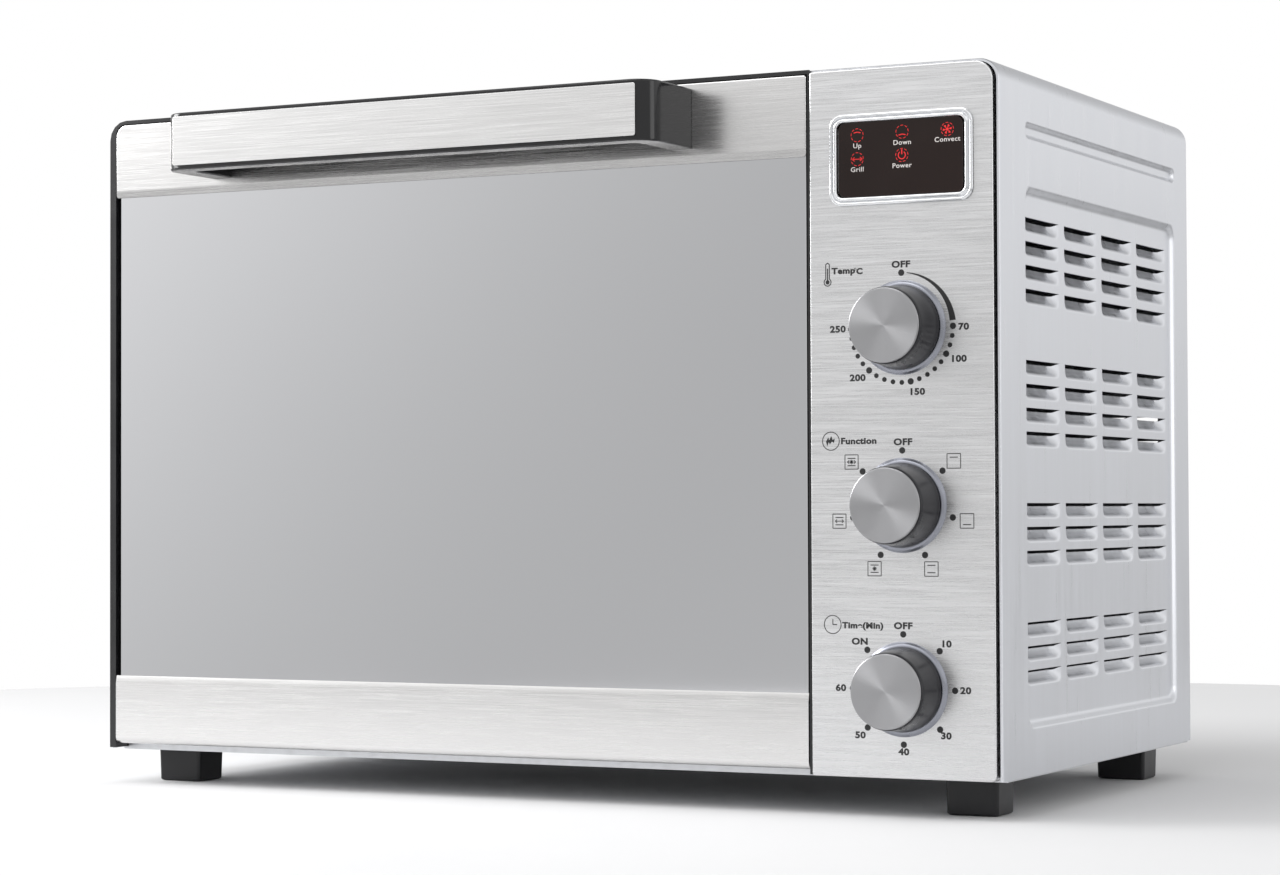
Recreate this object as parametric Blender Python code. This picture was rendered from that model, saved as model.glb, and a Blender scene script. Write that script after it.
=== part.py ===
"""Convection toaster oven: cabinet, drop-down door, three dials and the works inside.

Frame: metres, +Z up, the door faces -Y, the controls are at +X. The origin is under the middle of
the whole object, on the surface that its feet stand on.
"""
import bmesh
import bpy
from math import cos, pi, radians, sin

# ---- driving sizes ------------------------------------------------------------------------------
WIDTH = 0.540            # over the wrapper
BODY_HEIGHT = 0.3584     # cabinet without its feet
BODY_DEPTH = 0.313       # front plane of door and panel to the rear edge of the wrapper
FOOT_HEIGHT = 0.020      # feet lift the cabinet's lower edge by this much
HANDLE_REACH = 0.049     # handle's front ahead of the door's face
GLAND_REACH = 0.008      # cord gland behind the wrapper's rear edge
SHEET = 0.0011           # wrapper, panel and trims
GAP = 0.0003             # between pieces that touch
CORNER = 0.011           # bent upper corners of the wrapper

# Door and panel, measured from the left edge and from the cabinet's lower edge
DOOR_LEFT, DOOR_RIGHT = 0.0046, 0.4364
DOOR_BOTTOM, DOOR_TOP = 0.0029, 0.3559
DOOR_THICK = 0.014
DOOR_MID = (DOOR_LEFT + DOOR_RIGHT) / 2
GLASS_BOTTOM, GLASS_TOP = 0.0415, 0.3142      # glass between the trims
GLASS_LAP = 0.0055                            # glass hidden behind each trim
GLASS_FRONT, GLASS_BACK = 0.0014, 0.0054
BEVEL_HEIGHT = 0.0043                         # sloped edge of each trim
TRIM_CORNER = 0.007                           # door's upper left corner
PANEL_LEFT, PANEL_RIGHT = 0.4383, 0.5372
PANEL_TOP = 0.3570
PANEL_FLANGE = 0.010

# Hinge line of the door, behind the front plane and above the cabinet's lower edge
HINGE_BACK, HINGE_UP = 0.007, 0.0085
PIN_RADIUS = 0.002
PIN_HOLE = 0.00235
STAY_RADIUS = 0.090      # quadrant arms that stop the door, centred on the hinge line
STAY_WIDTH = 0.005
STAY_THICK = 0.002
STAY_INSET = 0.0074      # from the door's edge to the middle of an arm

# Oven cavity, inside faces
CAVITY_LEFT, CAVITY_RIGHT = 0.022, 0.418
CAVITY_FLOOR, CAVITY_CEILING = 0.024, 0.330
CAVITY_FRONT, CAVITY_BACK = 0.0174, 0.285
LINER = 0.0009
RAIL_HEIGHTS = (0.060, 0.097, 0.160, 0.223)
RAIL_PROUD = 0.005
FRAME_FRONT, FRAME_BACK = 0.0156, 0.0171

# Controls
DIAL_X = 0.4883
DIAL_HEIGHTS = {"temp": 0.2255, "function": 0.1365, "timer": 0.0446}
BOSS_RADIUS, BOSS_PROUD = 0.0231, 0.0018
KNOB_BASE_RADIUS, KNOB_FACE_RADIUS = 0.0212, 0.0192
KNOB_DEPTH = 0.0226      # knob's front ahead of the panel, without its cap
CAP_RADIUS, CAP_THICK = 0.0188, 0.0012
SHAFT_RADIUS, SHAFT_HOLE = 0.003, 0.0034
DISPLAY_X, DISPLAY_UP = 0.4884, 0.3109
BEZEL_WIDTH, BEZEL_HEIGHT, BEZEL_PROUD = 0.0774, 0.0463, 0.0022
WINDOW_WIDTH, WINDOW_HEIGHT = 0.0672, 0.0380

# Side fields of the wrapper, measured back from the front plane and up from the lower edge
FIELD_FRONT, FIELD_REAR = 0.0385, 0.2880
FIELD_BOTTOM, FIELD_TOP = 0.0230, 0.2981
FIELD_DEPTH, FIELD_SLOPE = 0.0025, 0.0035
GROOVE_BOTTOM, GROOVE_TOP = 0.3215, 0.3306
GROOVE_DEPTH, GROOVE_SLOPE = 0.0018, 0.0024
LOUVRE_COLUMNS, LOUVRE_FIRST, LOUVRE_PITCH, LOUVRE_LENGTH = 4, 0.044, 0.0603, 0.052
LOUVRE_GROUPS = ((0.2826, 4), (0.2101, 4), (0.1375, 3), (0.0771, 3))   # top slot, rows
LOUVRE_ROW, LOUVRE_HEIGHT, LOUVRE_DEPTH, LOUVRE_END = 0.0121, 0.0072, 0.0045, 0.003

# Works
ELEMENT_BACKS = {"front": 0.095, "rear": 0.205}
ELEMENT_HEIGHTS = {"upper": 0.316, "lower": 0.040}
FAN_BACK, FAN_UP = 0.215, 0.2685
GUARD_RADIUS, BLADE_REACH = 0.041, 0.033
SPIT_BACK, SPIT_UP = 0.135, 0.180

FRONT_Y = (HANDLE_REACH - BODY_DEPTH - GLAND_REACH) / 2
AXES = {"x": (1, 2, 0), "y": (0, 2, 1), "z": (0, 1, 2)}   # outline's first, second, and run axis


def lx(x):
    """World x of a point that lies x to the right of the wrapper's left face."""
    return x - WIDTH / 2


def fy(y):
    """World y of a point that lies y behind the front plane."""
    return FRONT_Y + y


def bz(z):
    """World z of a point that lies z above the cabinet's lower edge."""
    return FOOT_HEIGHT + z


# ---- shape helpers ------------------------------------------------------------------------------
def material(name, colour, roughness, metallic=0.0):
    made = bpy.data.materials.new(name)
    made.use_nodes = True
    shader = made.node_tree.nodes["Principled BSDF"]
    shader.inputs["Base Color"].default_value = (*colour, 1.0)
    shader.inputs["Roughness"].default_value = roughness
    shader.inputs["Metallic"].default_value = metallic
    return made


def point(axis, first, second, run):
    """A world point from its place in an outline and along the outline's run axis."""
    place = [0.0, 0.0, 0.0]
    for index, value in zip(AXES[axis], (first, second, run)):
        place[index] = value
    return place


def add_prism(bm, outline, axis, low, high):
    """A closed prism: an outline run along an axis from low to high."""
    ends = [[bm.verts.new(point(axis, u, v, run)) for u, v in outline] for run in (low, high)]
    bm.faces.new(ends[0])
    bm.faces.new(ends[1])
    count = len(outline)
    for i in range(count):
        j = (i + 1) % count
        bm.faces.new((ends[0][i], ends[0][j], ends[1][j], ends[1][i]))


def add_box(bm, low, high):
    corners = [(low[0], low[1]), (high[0], low[1]), (high[0], high[1]), (low[0], high[1])]
    add_prism(bm, corners, "z", low[2], high[2])


def add_ring(bm, outer, inner, axis, low, high):
    """A prism with a hole: both outlines have the same number of points."""
    loops = [[bm.verts.new(point(axis, u, v, run)) for u, v in outline]
             for outline, run in ((outer, low), (outer, high), (inner, high), (inner, low))]
    count = len(outer)
    for k in range(4):
        a, b = loops[k], loops[(k + 1) % 4]
        for i in range(count):
            j = (i + 1) % count
            bm.faces.new((a[i], a[j], b[j], b[i]))


def add_pan(bm, outline, inner, axis, face, floor, lip):
    """A tray: a face and its turned edge, with the inner outline one sheet inside the outer."""
    loops = [[bm.verts.new(point(axis, u, v, run)) for u, v in line]
             for line, run in ((outline, face), (outline, lip), (inner, lip), (inner, floor))]
    count = len(outline)
    bm.faces.new(loops[0])
    for k in range(3):
        a, b = loops[k], loops[k + 1]
        for i in range(count):
            j = (i + 1) % count
            bm.faces.new((a[i], a[j], b[j], b[i]))
    bm.faces.new(loops[3])


def add_turned(bm, profile, axis, centre, steps):
    """A solid of revolution from (radius, place along the axis) pairs, on the axis at both ends."""
    loops = []
    for radius, run in profile:
        if radius == 0:
            loops.append([bm.verts.new(point(axis, centre[0], centre[1], run))])
            continue
        loops.append([bm.verts.new(point(axis, centre[0] + radius * cos(2 * pi * i / steps),
                                         centre[1] + radius * sin(2 * pi * i / steps), run))
                      for i in range(steps)])
    for a, b in zip(loops, loops[1:]):
        for i in range(steps):
            j = (i + 1) % steps
            quad = [a[i % len(a)], a[j % len(a)], b[j % len(b)], b[i % len(b)]]
            bm.faces.new(list(dict.fromkeys(quad)))


def add_rod(bm, axis, centre, radius, low, high, steps=12):
    add_turned(bm, [(0, low), (radius, low), (radius, high), (0, high)], axis, centre, steps)


def rounded(u0, u1, v0, v1, radii, steps=4):
    """A rectangle's outline with its corners rounded: lower left, lower right, upper right, left."""
    corners = ((u0, v0, 1, 1, 180), (u1, v0, -1, 1, 270), (u1, v1, -1, -1, 0), (u0, v1, 1, -1, 90))
    outline = []
    for (u, v, right, up, start), radius in zip(corners, radii):
        for i in range(steps + 1):
            turn = radians(start + 90 * i / steps)
            outline.append((u + right * radius + radius * cos(turn),
                            v + up * radius + radius * sin(turn)))
    return outline


def add_thick(bm, verts, faces, shifts):
    """A sheet made solid: each vertex is copied by its shift and the open edges are closed."""
    top = [bm.verts.new(v) for v in verts]
    under = [bm.verts.new([a + b for a, b in zip(v, s)]) for v, s in zip(verts, shifts)]
    used = {}
    for face in faces:
        bm.faces.new([top[i] for i in face])
        bm.faces.new([under[i] for i in reversed(face)])
        for a, b in zip(face, face[1:] + face[:1]):
            used[(a, b)] = used.get((a, b), 0) + 1
    for a, b in used:
        if (b, a) not in used:
            bm.faces.new((top[b], top[a], under[a], under[b]))


def finish(bm, name, look=None, origin=(0.0, 0.0, 0.0), smooth=False):
    """Turns a bmesh in world places into an object whose origin is at the given point."""
    bmesh.ops.recalc_face_normals(bm, faces=bm.faces)
    for vert in bm.verts:
        vert.co = [a - b for a, b in zip(vert.co, origin)]
    mesh = bpy.data.meshes.new(name)
    bm.to_mesh(mesh)
    bm.free()
    made = bpy.data.objects.new(name, mesh)
    made.location = origin
    bpy.context.collection.objects.link(made)
    if look:
        mesh.materials.append(look)
    if smooth:
        mesh.shade_smooth()
        mesh.set_sharp_from_angle(angle=radians(35))
    return made


def combine(target, bm, operation, name):
    """Joins a helper solid to the target, or cuts it away."""
    helper = finish(bm, name, origin=tuple(target.location))
    helper.hide_render = True
    helper.display_type = "WIRE"
    step = target.modifiers.new(name, "BOOLEAN")
    step.operation = operation
    step.solver = "EXACT"
    step.object = helper


def cut(target, bm, name):
    combine(target, bm, "DIFFERENCE", name)


def join(target, bm, name):
    combine(target, bm, "UNION", name)


# ---- cabinet ------------------------------------------------------------------------------------
def louvre_rows():
    """Lower edge and slot height of every louvre row, from the lowest up."""
    tops = [top - LOUVRE_ROW * i for top, rows in LOUVRE_GROUPS for i in range(rows)]
    return sorted((top - LOUVRE_HEIGHT, top) for top in tops)


def build_wrapper(look):
    """One sheet bent over the top, with a recessed louvred field and a groove in each side."""
    rows = louvre_rows()
    heights = [0.0, FIELD_BOTTOM, FIELD_BOTTOM + FIELD_SLOPE]
    heights += [z for row in rows for z in row]
    heights += [FIELD_TOP - FIELD_SLOPE, FIELD_TOP, GROOVE_BOTTOM, GROOVE_BOTTOM + GROOVE_SLOPE,
                GROOVE_TOP - GROOVE_SLOPE, GROOVE_TOP]
    columns = [(LOUVRE_FIRST + LOUVRE_PITCH * i, LOUVRE_FIRST + LOUVRE_PITCH * i + LOUVRE_LENGTH)
               for i in range(LOUVRE_COLUMNS)]
    backs = [0.0026, FIELD_FRONT, FIELD_FRONT + FIELD_SLOPE * 0.9]
    backs += [y for column in columns for y in column]
    backs += [FIELD_REAR - FIELD_SLOPE, FIELD_REAR, BODY_DEPTH]

    def depth(z, y):
        if not FIELD_FRONT < y < FIELD_REAR:
            return 0.0
        if FIELD_BOTTOM < z < FIELD_TOP:
            return FIELD_DEPTH
        return GROOVE_DEPTH if GROOVE_BOTTOM < z < GROOVE_TOP else 0.0

    arc = [90 * i / 4 for i in range(5)]
    profile = [(0.0, z, -1.0, 0.0) for z in heights]
    profile += [(CORNER - CORNER * cos(radians(a)), BODY_HEIGHT - CORNER + CORNER * sin(radians(a)),
                 -cos(radians(a)), sin(radians(a))) for a in arc]
    profile += [(WIDTH - x, z, -nx, nz) for x, z, nx, nz in reversed(profile)]
    verts, shifts, faces = [], [], []

    def add_vert(x, z, nx, nz, y, sunk):
        verts.append((lx(x - nx * sunk), fy(y), bz(z - nz * sunk)))
        shifts.append((-nx * SHEET, 0.0, -nz * SHEET))
        return len(verts) - 1

    grid = [[add_vert(x, z, nx, nz, y, depth(z, y) if nz == 0 else 0.0) for y in backs]
            for x, z, nx, nz in profile]
    slots = {round(low, 6) for low, high in rows}
    for i in range(len(profile) - 1):
        for j in range(len(backs) - 1):
            a, b, c, d = grid[i][j], grid[i + 1][j], grid[i + 1][j + 1], grid[i][j + 1]
            x, z, nx, nz = profile[i]
            low = min(z, profile[i + 1][1])
            scoop = nz == 0 and round(low, 6) in slots and any(backs[j] == s for s, e in columns)
            if not scoop:
                faces.append([a, b, c, d])
                continue
            sunk, top = FIELD_DEPTH + LOUVRE_DEPTH, low + LOUVRE_HEIGHT
            near = add_vert(x, top, nx, nz, backs[j] + LOUVRE_END, sunk)
            far = add_vert(x, top, nx, nz, backs[j + 1] - LOUVRE_END, sunk)
            if nx < 0:
                faces += [[a, near, far, d], [a, b, near], [d, far, c]]
            else:
                faces += [[near, b, c, far], [a, b, near], [c, d, far]]
    bm = bmesh.new()
    add_thick(bm, verts, faces, shifts)
    finish(bm, "outer_wrapper", look, smooth=True)


def build_back_panel(look):
    bm = bmesh.new()
    round_top = CORNER - SHEET - GAP
    outline = rounded(lx(0.0015), lx(WIDTH - 0.0015), bz(0.0006), bz(BODY_HEIGHT - 0.0015),
                      (0.001, 0.001, round_top, round_top))
    add_prism(bm, outline, "y", fy(BODY_DEPTH - 0.0018), fy(BODY_DEPTH - 0.0006))
    panel = finish(bm, "back_panel", look)
    bm = bmesh.new()
    for row in range(7):
        for column in range(2):
            x, z = 0.440 + column * 0.046, 0.100 + row * 0.014
            add_box(bm, (lx(x), fy(0.309), bz(z)), (lx(x + 0.036), fy(0.315), bz(z + 0.004)))
    add_rod(bm, "y", (lx(0.487), bz(0.040)), 0.0060, fy(0.309), fy(0.315))
    cut(panel, bm, "cut_back_vents")


def build_base_plate(look):
    bm = bmesh.new()
    add_box(bm, (lx(0.0015), fy(0.0122), bz(-0.001)), (lx(WIDTH - 0.0015), fy(0.3108), bz(0.0002)))
    plate = finish(bm, "base_plate", look)
    bm = bmesh.new()
    add_box(bm, (lx(DOOR_LEFT), fy(0.0122), bz(-0.0005)), (lx(DOOR_RIGHT), fy(0.0134), bz(0.0024)))
    join(plate, bm, "join_base_lip")
    bm = bmesh.new()
    for i in range(6):
        x = 0.450 + i * 0.013
        add_box(bm, (lx(x), fy(0.090), bz(-0.003)), (lx(x + 0.005), fy(0.190), bz(0.003)))
    for x, y in foot_places():
        add_rod(bm, "z", (x, y), 0.0024, bz(-0.003), bz(0.003), 8)
    cut(plate, bm, "cut_base_vents")


def build_front_frame(look):
    """Black surround of the door: a plate round the cavity's mouth with a rim that comes forward."""
    right, inner_top, inner_left = 0.4380, DOOR_TOP + 0.0004, DOOR_LEFT - 0.0005
    inner_right = 0.4369

    def rim(left, top, radius):
        """An upside-down U, open at the bottom, with a rounded upper left corner."""
        arc = [radians(90 * i / 4) for i in range(5)]
        outer = [(left, 0.0005)]
        outer += [(left + radius - radius * cos(a), top - radius + radius * sin(a)) for a in arc]
        outer += [(right, top), (right, 0.0005), (inner_right, 0.0005), (inner_right, inner_top)]
        bend = 0.006
        outer += [(inner_left + bend - bend * cos(a), inner_top - bend + bend * sin(a))
                  for a in reversed(arc)]
        outer += [(inner_left, 0.0005)]
        return [(lx(x), bz(z)) for x, z in outer]

    bm = bmesh.new()
    add_prism(bm, rim(0.0, BODY_HEIGHT, CORNER), "y", fy(0.0006), fy(0.0023))
    frame = finish(bm, "front_frame", look)
    bm = bmesh.new()
    add_prism(bm, rim(0.0014, BODY_HEIGHT - 0.0014, CORNER - 0.0014), "y", fy(0.0012), fy(0.0165))
    join(frame, bm, "join_rim")
    bm = bmesh.new()
    plate = rounded(lx(0.0014), lx(right), bz(0.0005), bz(BODY_HEIGHT - 0.0014),
                    (0.0005, 0.0005, 0.0005, CORNER - 0.0014))
    add_prism(bm, plate, "y", fy(FRAME_FRONT), fy(FRAME_BACK))
    join(frame, bm, "join_plate")
    bm = bmesh.new()
    add_box(bm, (lx(CAVITY_LEFT), fy(0.012), bz(CAVITY_FLOOR)),
            (lx(CAVITY_RIGHT), fy(0.020), bz(CAVITY_CEILING)))
    for x in stay_places():
        add_box(bm, (lx(x - 0.0018), fy(0.0148), bz(0.0945)), (lx(x + 0.0018), fy(0.020), bz(0.1020)))
    for low, high in ((-0.001, 0.0065), (0.4345, 0.4395)):
        add_rod(bm, "x", (fy(HINGE_BACK), bz(HINGE_UP)), PIN_HOLE, lx(low), lx(high))
    cut(frame, bm, "cut_frame_openings")


def build_cavity(look):
    """Five sheet walls and a narrow front flange; the sides carry pressed rails for the racks."""
    ridge = (-0.0035, -0.001, 0.0015, 0.004)
    heights = [CAVITY_FLOOR] + [z + d for z in RAIL_HEIGHTS for d in ridge] + [CAVITY_CEILING]
    backs = [CAVITY_FRONT, 0.030, 0.034, 0.268, 0.272, CAVITY_BACK]
    crests = {round(z + d, 6) for z in RAIL_HEIGHTS for d in ridge[1:3]}
    verts, shifts, faces = [], [], []

    def add_vert(x, y, z, shift):
        verts.append((lx(x), fy(y), bz(z)))
        shifts.append([s * LINER for s in shift])
        return len(verts) - 1

    def side(x, out):
        grid = []
        for z in heights:
            proud = [RAIL_PROUD if round(z, 6) in crests and 0.033 < y < 0.269 else 0 for y in backs]
            up = -1 if z == CAVITY_FLOOR else (1 if z == CAVITY_CEILING else 0)
            grid.append([add_vert(x - out * p, y, z, (out, 1 if y == CAVITY_BACK else 0, up))
                         for y, p in zip(backs, proud)])
        return grid

    left, right = side(CAVITY_LEFT, -1), side(CAVITY_RIGHT, 1)
    rows, columns = len(heights), len(backs)
    for i in range(rows - 1):
        for j in range(columns - 1):
            faces.append([left[i][j], left[i][j + 1], left[i + 1][j + 1], left[i + 1][j]])
            faces.append([right[i][j], right[i + 1][j], right[i + 1][j + 1], right[i][j + 1]])
        faces.append([left[i][-1], right[i][-1], right[i + 1][-1], left[i + 1][-1]])
    for j in range(columns - 1):
        faces.append([left[0][j], right[0][j], right[0][j + 1], left[0][j + 1]])
        faces.append([left[-1][j], left[-1][j + 1], right[-1][j + 1], right[-1][j]])
    bm = bmesh.new()
    add_thick(bm, verts, faces, shifts)
    cavity = finish(bm, "oven_cavity", look)
    bm = bmesh.new()
    flange = 0.0055
    add_ring(bm, rounded(lx(CAVITY_LEFT - flange), lx(CAVITY_RIGHT + flange),
                         bz(CAVITY_FLOOR - flange), bz(CAVITY_CEILING + flange), (0.001,) * 4, 1),
             rounded(lx(CAVITY_LEFT - LINER / 2), lx(CAVITY_RIGHT + LINER / 2),
                     bz(CAVITY_FLOOR - LINER / 2), bz(CAVITY_CEILING + LINER / 2), (0.0001,) * 4, 1),
             "y", fy(CAVITY_FRONT), fy(CAVITY_FRONT + LINER))
    join(cavity, bm, "join_flange")
    bm = bmesh.new()
    for y in ELEMENT_BACKS.values():
        for z in ELEMENT_HEIGHTS.values():
            for x in (CAVITY_LEFT, CAVITY_RIGHT):
                add_rod(bm, "x", (fy(y), bz(z)), 0.0055, lx(x - 0.003), lx(x + 0.003), 10)
    add_rod(bm, "x", (fy(FAN_BACK), bz(FAN_UP)), 0.008, lx(0.415), lx(0.421))
    add_rod(bm, "x", (fy(SPIT_BACK), bz(SPIT_UP)), 0.0092, lx(0.415), lx(0.421))
    cut(cavity, bm, "cut_cavity_holes")


# ---- control panel ------------------------------------------------------------------------------
def build_control_panel(look):
    left, right, top = lx(PANEL_LEFT), lx(PANEL_RIGHT), bz(PANEL_TOP)
    outer = rounded(left, right, bz(0), top, (0.0015, 0.003, 0.0095, 0.0015))
    inner = rounded(left + SHEET, right - SHEET, bz(SHEET), top - SHEET,
                    (0.0004, 0.0019, 0.0084, 0.0004))
    bm = bmesh.new()
    add_pan(bm, outer, inner, "y", fy(0), fy(SHEET), fy(PANEL_FLANGE))
    panel = finish(bm, "control_panel", look, smooth=True)
    bm = bmesh.new()
    for height in DIAL_HEIGHTS.values():
        slope = [(0, fy(0.0006)), (BOSS_RADIUS, fy(0.0006)), (BOSS_RADIUS, fy(-0.0006)),
                 (BOSS_RADIUS - 0.0012, fy(-BOSS_PROUD)), (0, fy(-BOSS_PROUD))]
        add_turned(bm, slope, "y", (lx(DIAL_X), bz(height)), 32)
    join(panel, bm, "join_dial_bosses")
    bm = bmesh.new()
    for height in DIAL_HEIGHTS.values():
        add_rod(bm, "y", (lx(DIAL_X), bz(height)), 0.0046, fy(-0.005), fy(0.003))
    half_wide, half_high = WINDOW_WIDTH / 2 + 0.0005, WINDOW_HEIGHT / 2 + 0.0005
    add_box(bm, (lx(DISPLAY_X - half_wide), fy(-0.002), bz(DISPLAY_UP - half_high)),
            (lx(DISPLAY_X + half_wide), fy(0.003), bz(DISPLAY_UP + half_high)))
    cut(panel, bm, "cut_panel_holes")


def display_outline(wide, high, radius):
    return rounded(lx(DISPLAY_X - wide / 2), lx(DISPLAY_X + wide / 2), bz(DISPLAY_UP - high / 2),
                   bz(DISPLAY_UP + high / 2), (radius,) * 4)


def build_display(bezel, window, board):
    bm = bmesh.new()
    add_ring(bm, display_outline(BEZEL_WIDTH, BEZEL_HEIGHT, 0.0068),
             display_outline(WINDOW_WIDTH + 0.0008, WINDOW_HEIGHT + 0.0008, 0.0042),
             "y", fy(-BEZEL_PROUD), fy(-GAP))
    finish(bm, "display_bezel", bezel, smooth=True)
    bm = bmesh.new()
    add_prism(bm, display_outline(WINDOW_WIDTH, WINDOW_HEIGHT, 0.0038), "y", fy(-0.0010), fy(0.0016))
    finish(bm, "display_window", window)
    bm = bmesh.new()
    add_prism(bm, display_outline(0.078, 0.046, 0.001), "y", fy(0.0090), fy(0.0106))
    finish(bm, "display_board", board)


def build_dial(name, unit_size, knob_look, cap_look, steel, unit_look):
    """A knob with its cap and shaft, and the control unit that the shaft turns in."""
    centre, height = lx(DIAL_X), bz(DIAL_HEIGHTS[name])
    origin = (centre, fy(0), height)
    base = fy(-BOSS_PROUD - GAP)
    face = fy(-KNOB_DEPTH)
    bore = fy(-0.0135)
    bm = bmesh.new()
    add_turned(bm, [(0, bore), (SHAFT_HOLE, bore), (SHAFT_HOLE, base), (KNOB_BASE_RADIUS, base),
                    (KNOB_BASE_RADIUS, base - 0.0015), (KNOB_BASE_RADIUS - 0.0008, base - 0.006),
                    (KNOB_FACE_RADIUS, face + 0.0006), (KNOB_FACE_RADIUS - 0.0006, face),
                    (0, face)], "y", (centre, height), 32)
    finish(bm, name + "_knob", knob_look, origin, smooth=True)
    bm = bmesh.new()
    back = face - GAP
    add_turned(bm, [(0, back), (CAP_RADIUS, back), (CAP_RADIUS, back - CAP_THICK * 0.6),
                    (CAP_RADIUS - 0.0005, back - CAP_THICK), (0, back - CAP_THICK)],
               "y", (centre, height), 32)
    finish(bm, name + "_knob_cap", cap_look, origin, smooth=True)
    bm = bmesh.new()
    add_rod(bm, "y", (centre, height), SHAFT_RADIUS, fy(-0.0130), fy(0.0120))
    finish(bm, name + "_shaft", steel, origin, smooth=True)
    wide, high, deep = unit_size
    bm = bmesh.new()
    outline = rounded(centre - wide / 2, centre + wide / 2, height - high / 2, height + high / 2,
                      (0.002,) * 4, 2)
    add_prism(bm, outline, "y", fy(SHEET + GAP), fy(deep))
    unit = finish(bm, name + "_control", unit_look)
    bm = bmesh.new()
    add_rod(bm, "y", (centre, height), SHAFT_HOLE, fy(-0.001), fy(0.0126))
    cut(unit, bm, "cut_" + name + "_bore")


# ---- door ---------------------------------------------------------------------------------------
def hinge_origin():
    return (lx(DOOR_MID), fy(HINGE_BACK), bz(HINGE_UP))


def stay_places():
    return (DOOR_LEFT + STAY_INSET, DOOR_RIGHT - STAY_INSET)


def bend(centre, radius, start, turn, steps=4):
    """Points along an arc, from a start angle through a turn, both in degrees."""
    return [(centre[0] + radius * cos(radians(start + turn * i / steps)),
             centre[1] + radius * sin(radians(start + turn * i / steps))) for i in range(steps + 1)]


def build_trims(look):
    """Folded trims over the glass's upper and lower edges, each with a sloped edge to the glass."""
    back = DOOR_THICK - GAP
    corners = (0.0004, 0.0018, 0.0014, TRIM_CORNER)
    inner_corners = [max(radius - SHEET, 0.0002) for radius in corners]
    outline = rounded(lx(DOOR_LEFT), lx(DOOR_RIGHT), bz(GLASS_TOP), bz(DOOR_TOP), corners)
    inner = rounded(lx(DOOR_LEFT + SHEET), lx(DOOR_RIGHT - SHEET), bz(GLASS_TOP + SHEET),
                    bz(DOOR_TOP - SHEET), inner_corners)
    bm = bmesh.new()
    add_pan(bm, outline, inner, "y", fy(0), fy(SHEET), fy(back))
    trim = finish(bm, "door_top_trim", look, hinge_origin())
    bm = bmesh.new()
    add_box(bm, (lx(0), fy(SHEET - 0.0001), bz(GLASS_TOP - 0.002)),
            (lx(DOOR_RIGHT + 0.005), fy(back + 0.002), bz(GLASS_TOP + GLASS_LAP + GAP)))
    cut(trim, bm, "cut_trim_returns")
    bm = bmesh.new()
    slope = [(0, BEVEL_HEIGHT), (-0.001, BEVEL_HEIGHT), (-0.001, -0.001), (0.0009, -0.001),
             (0.0008, 0)]
    add_prism(bm, [(fy(y), bz(GLASS_TOP + z)) for y, z in slope], "x", lx(0), lx(DOOR_RIGHT + 0.005))
    for x in handle_screw_places():
        add_rod(bm, "y", (lx(x), bz(HANDLE_UP)), 0.0024, fy(-0.001), fy(0.0020), 8)
    cut(trim, bm, "cut_trim_slope_and_bores")

    low_bend = 0.004
    section = [(SHEET - 0.0003, GLASS_BOTTOM), (SHEET, GLASS_BOTTOM)]
    section += bend((low_bend, DOOR_BOTTOM + low_bend), low_bend - SHEET, 180, 90)
    section += [(0.0100, DOOR_BOTTOM + SHEET), (0.0100, DOOR_BOTTOM)]
    section += bend((low_bend, DOOR_BOTTOM + low_bend), low_bend, 270, -90)
    section += [(0, GLASS_BOTTOM - BEVEL_HEIGHT)]
    bm = bmesh.new()
    add_prism(bm, [(fy(y), bz(z)) for y, z in section], "x", lx(DOOR_LEFT), lx(DOOR_RIGHT))
    finish(bm, "door_bottom_trim", look, hinge_origin())


def build_glass(look):
    bm = bmesh.new()
    outline = rounded(lx(DOOR_LEFT + 0.0022), lx(DOOR_RIGHT - 0.0004), bz(GLASS_BOTTOM - GLASS_LAP),
                      bz(GLASS_TOP + GLASS_LAP), (0.001,) * 4, 2)
    add_prism(bm, outline, "y", fy(GLASS_FRONT), fy(GLASS_BACK))
    finish(bm, "door_glass", look, hinge_origin())


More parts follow.
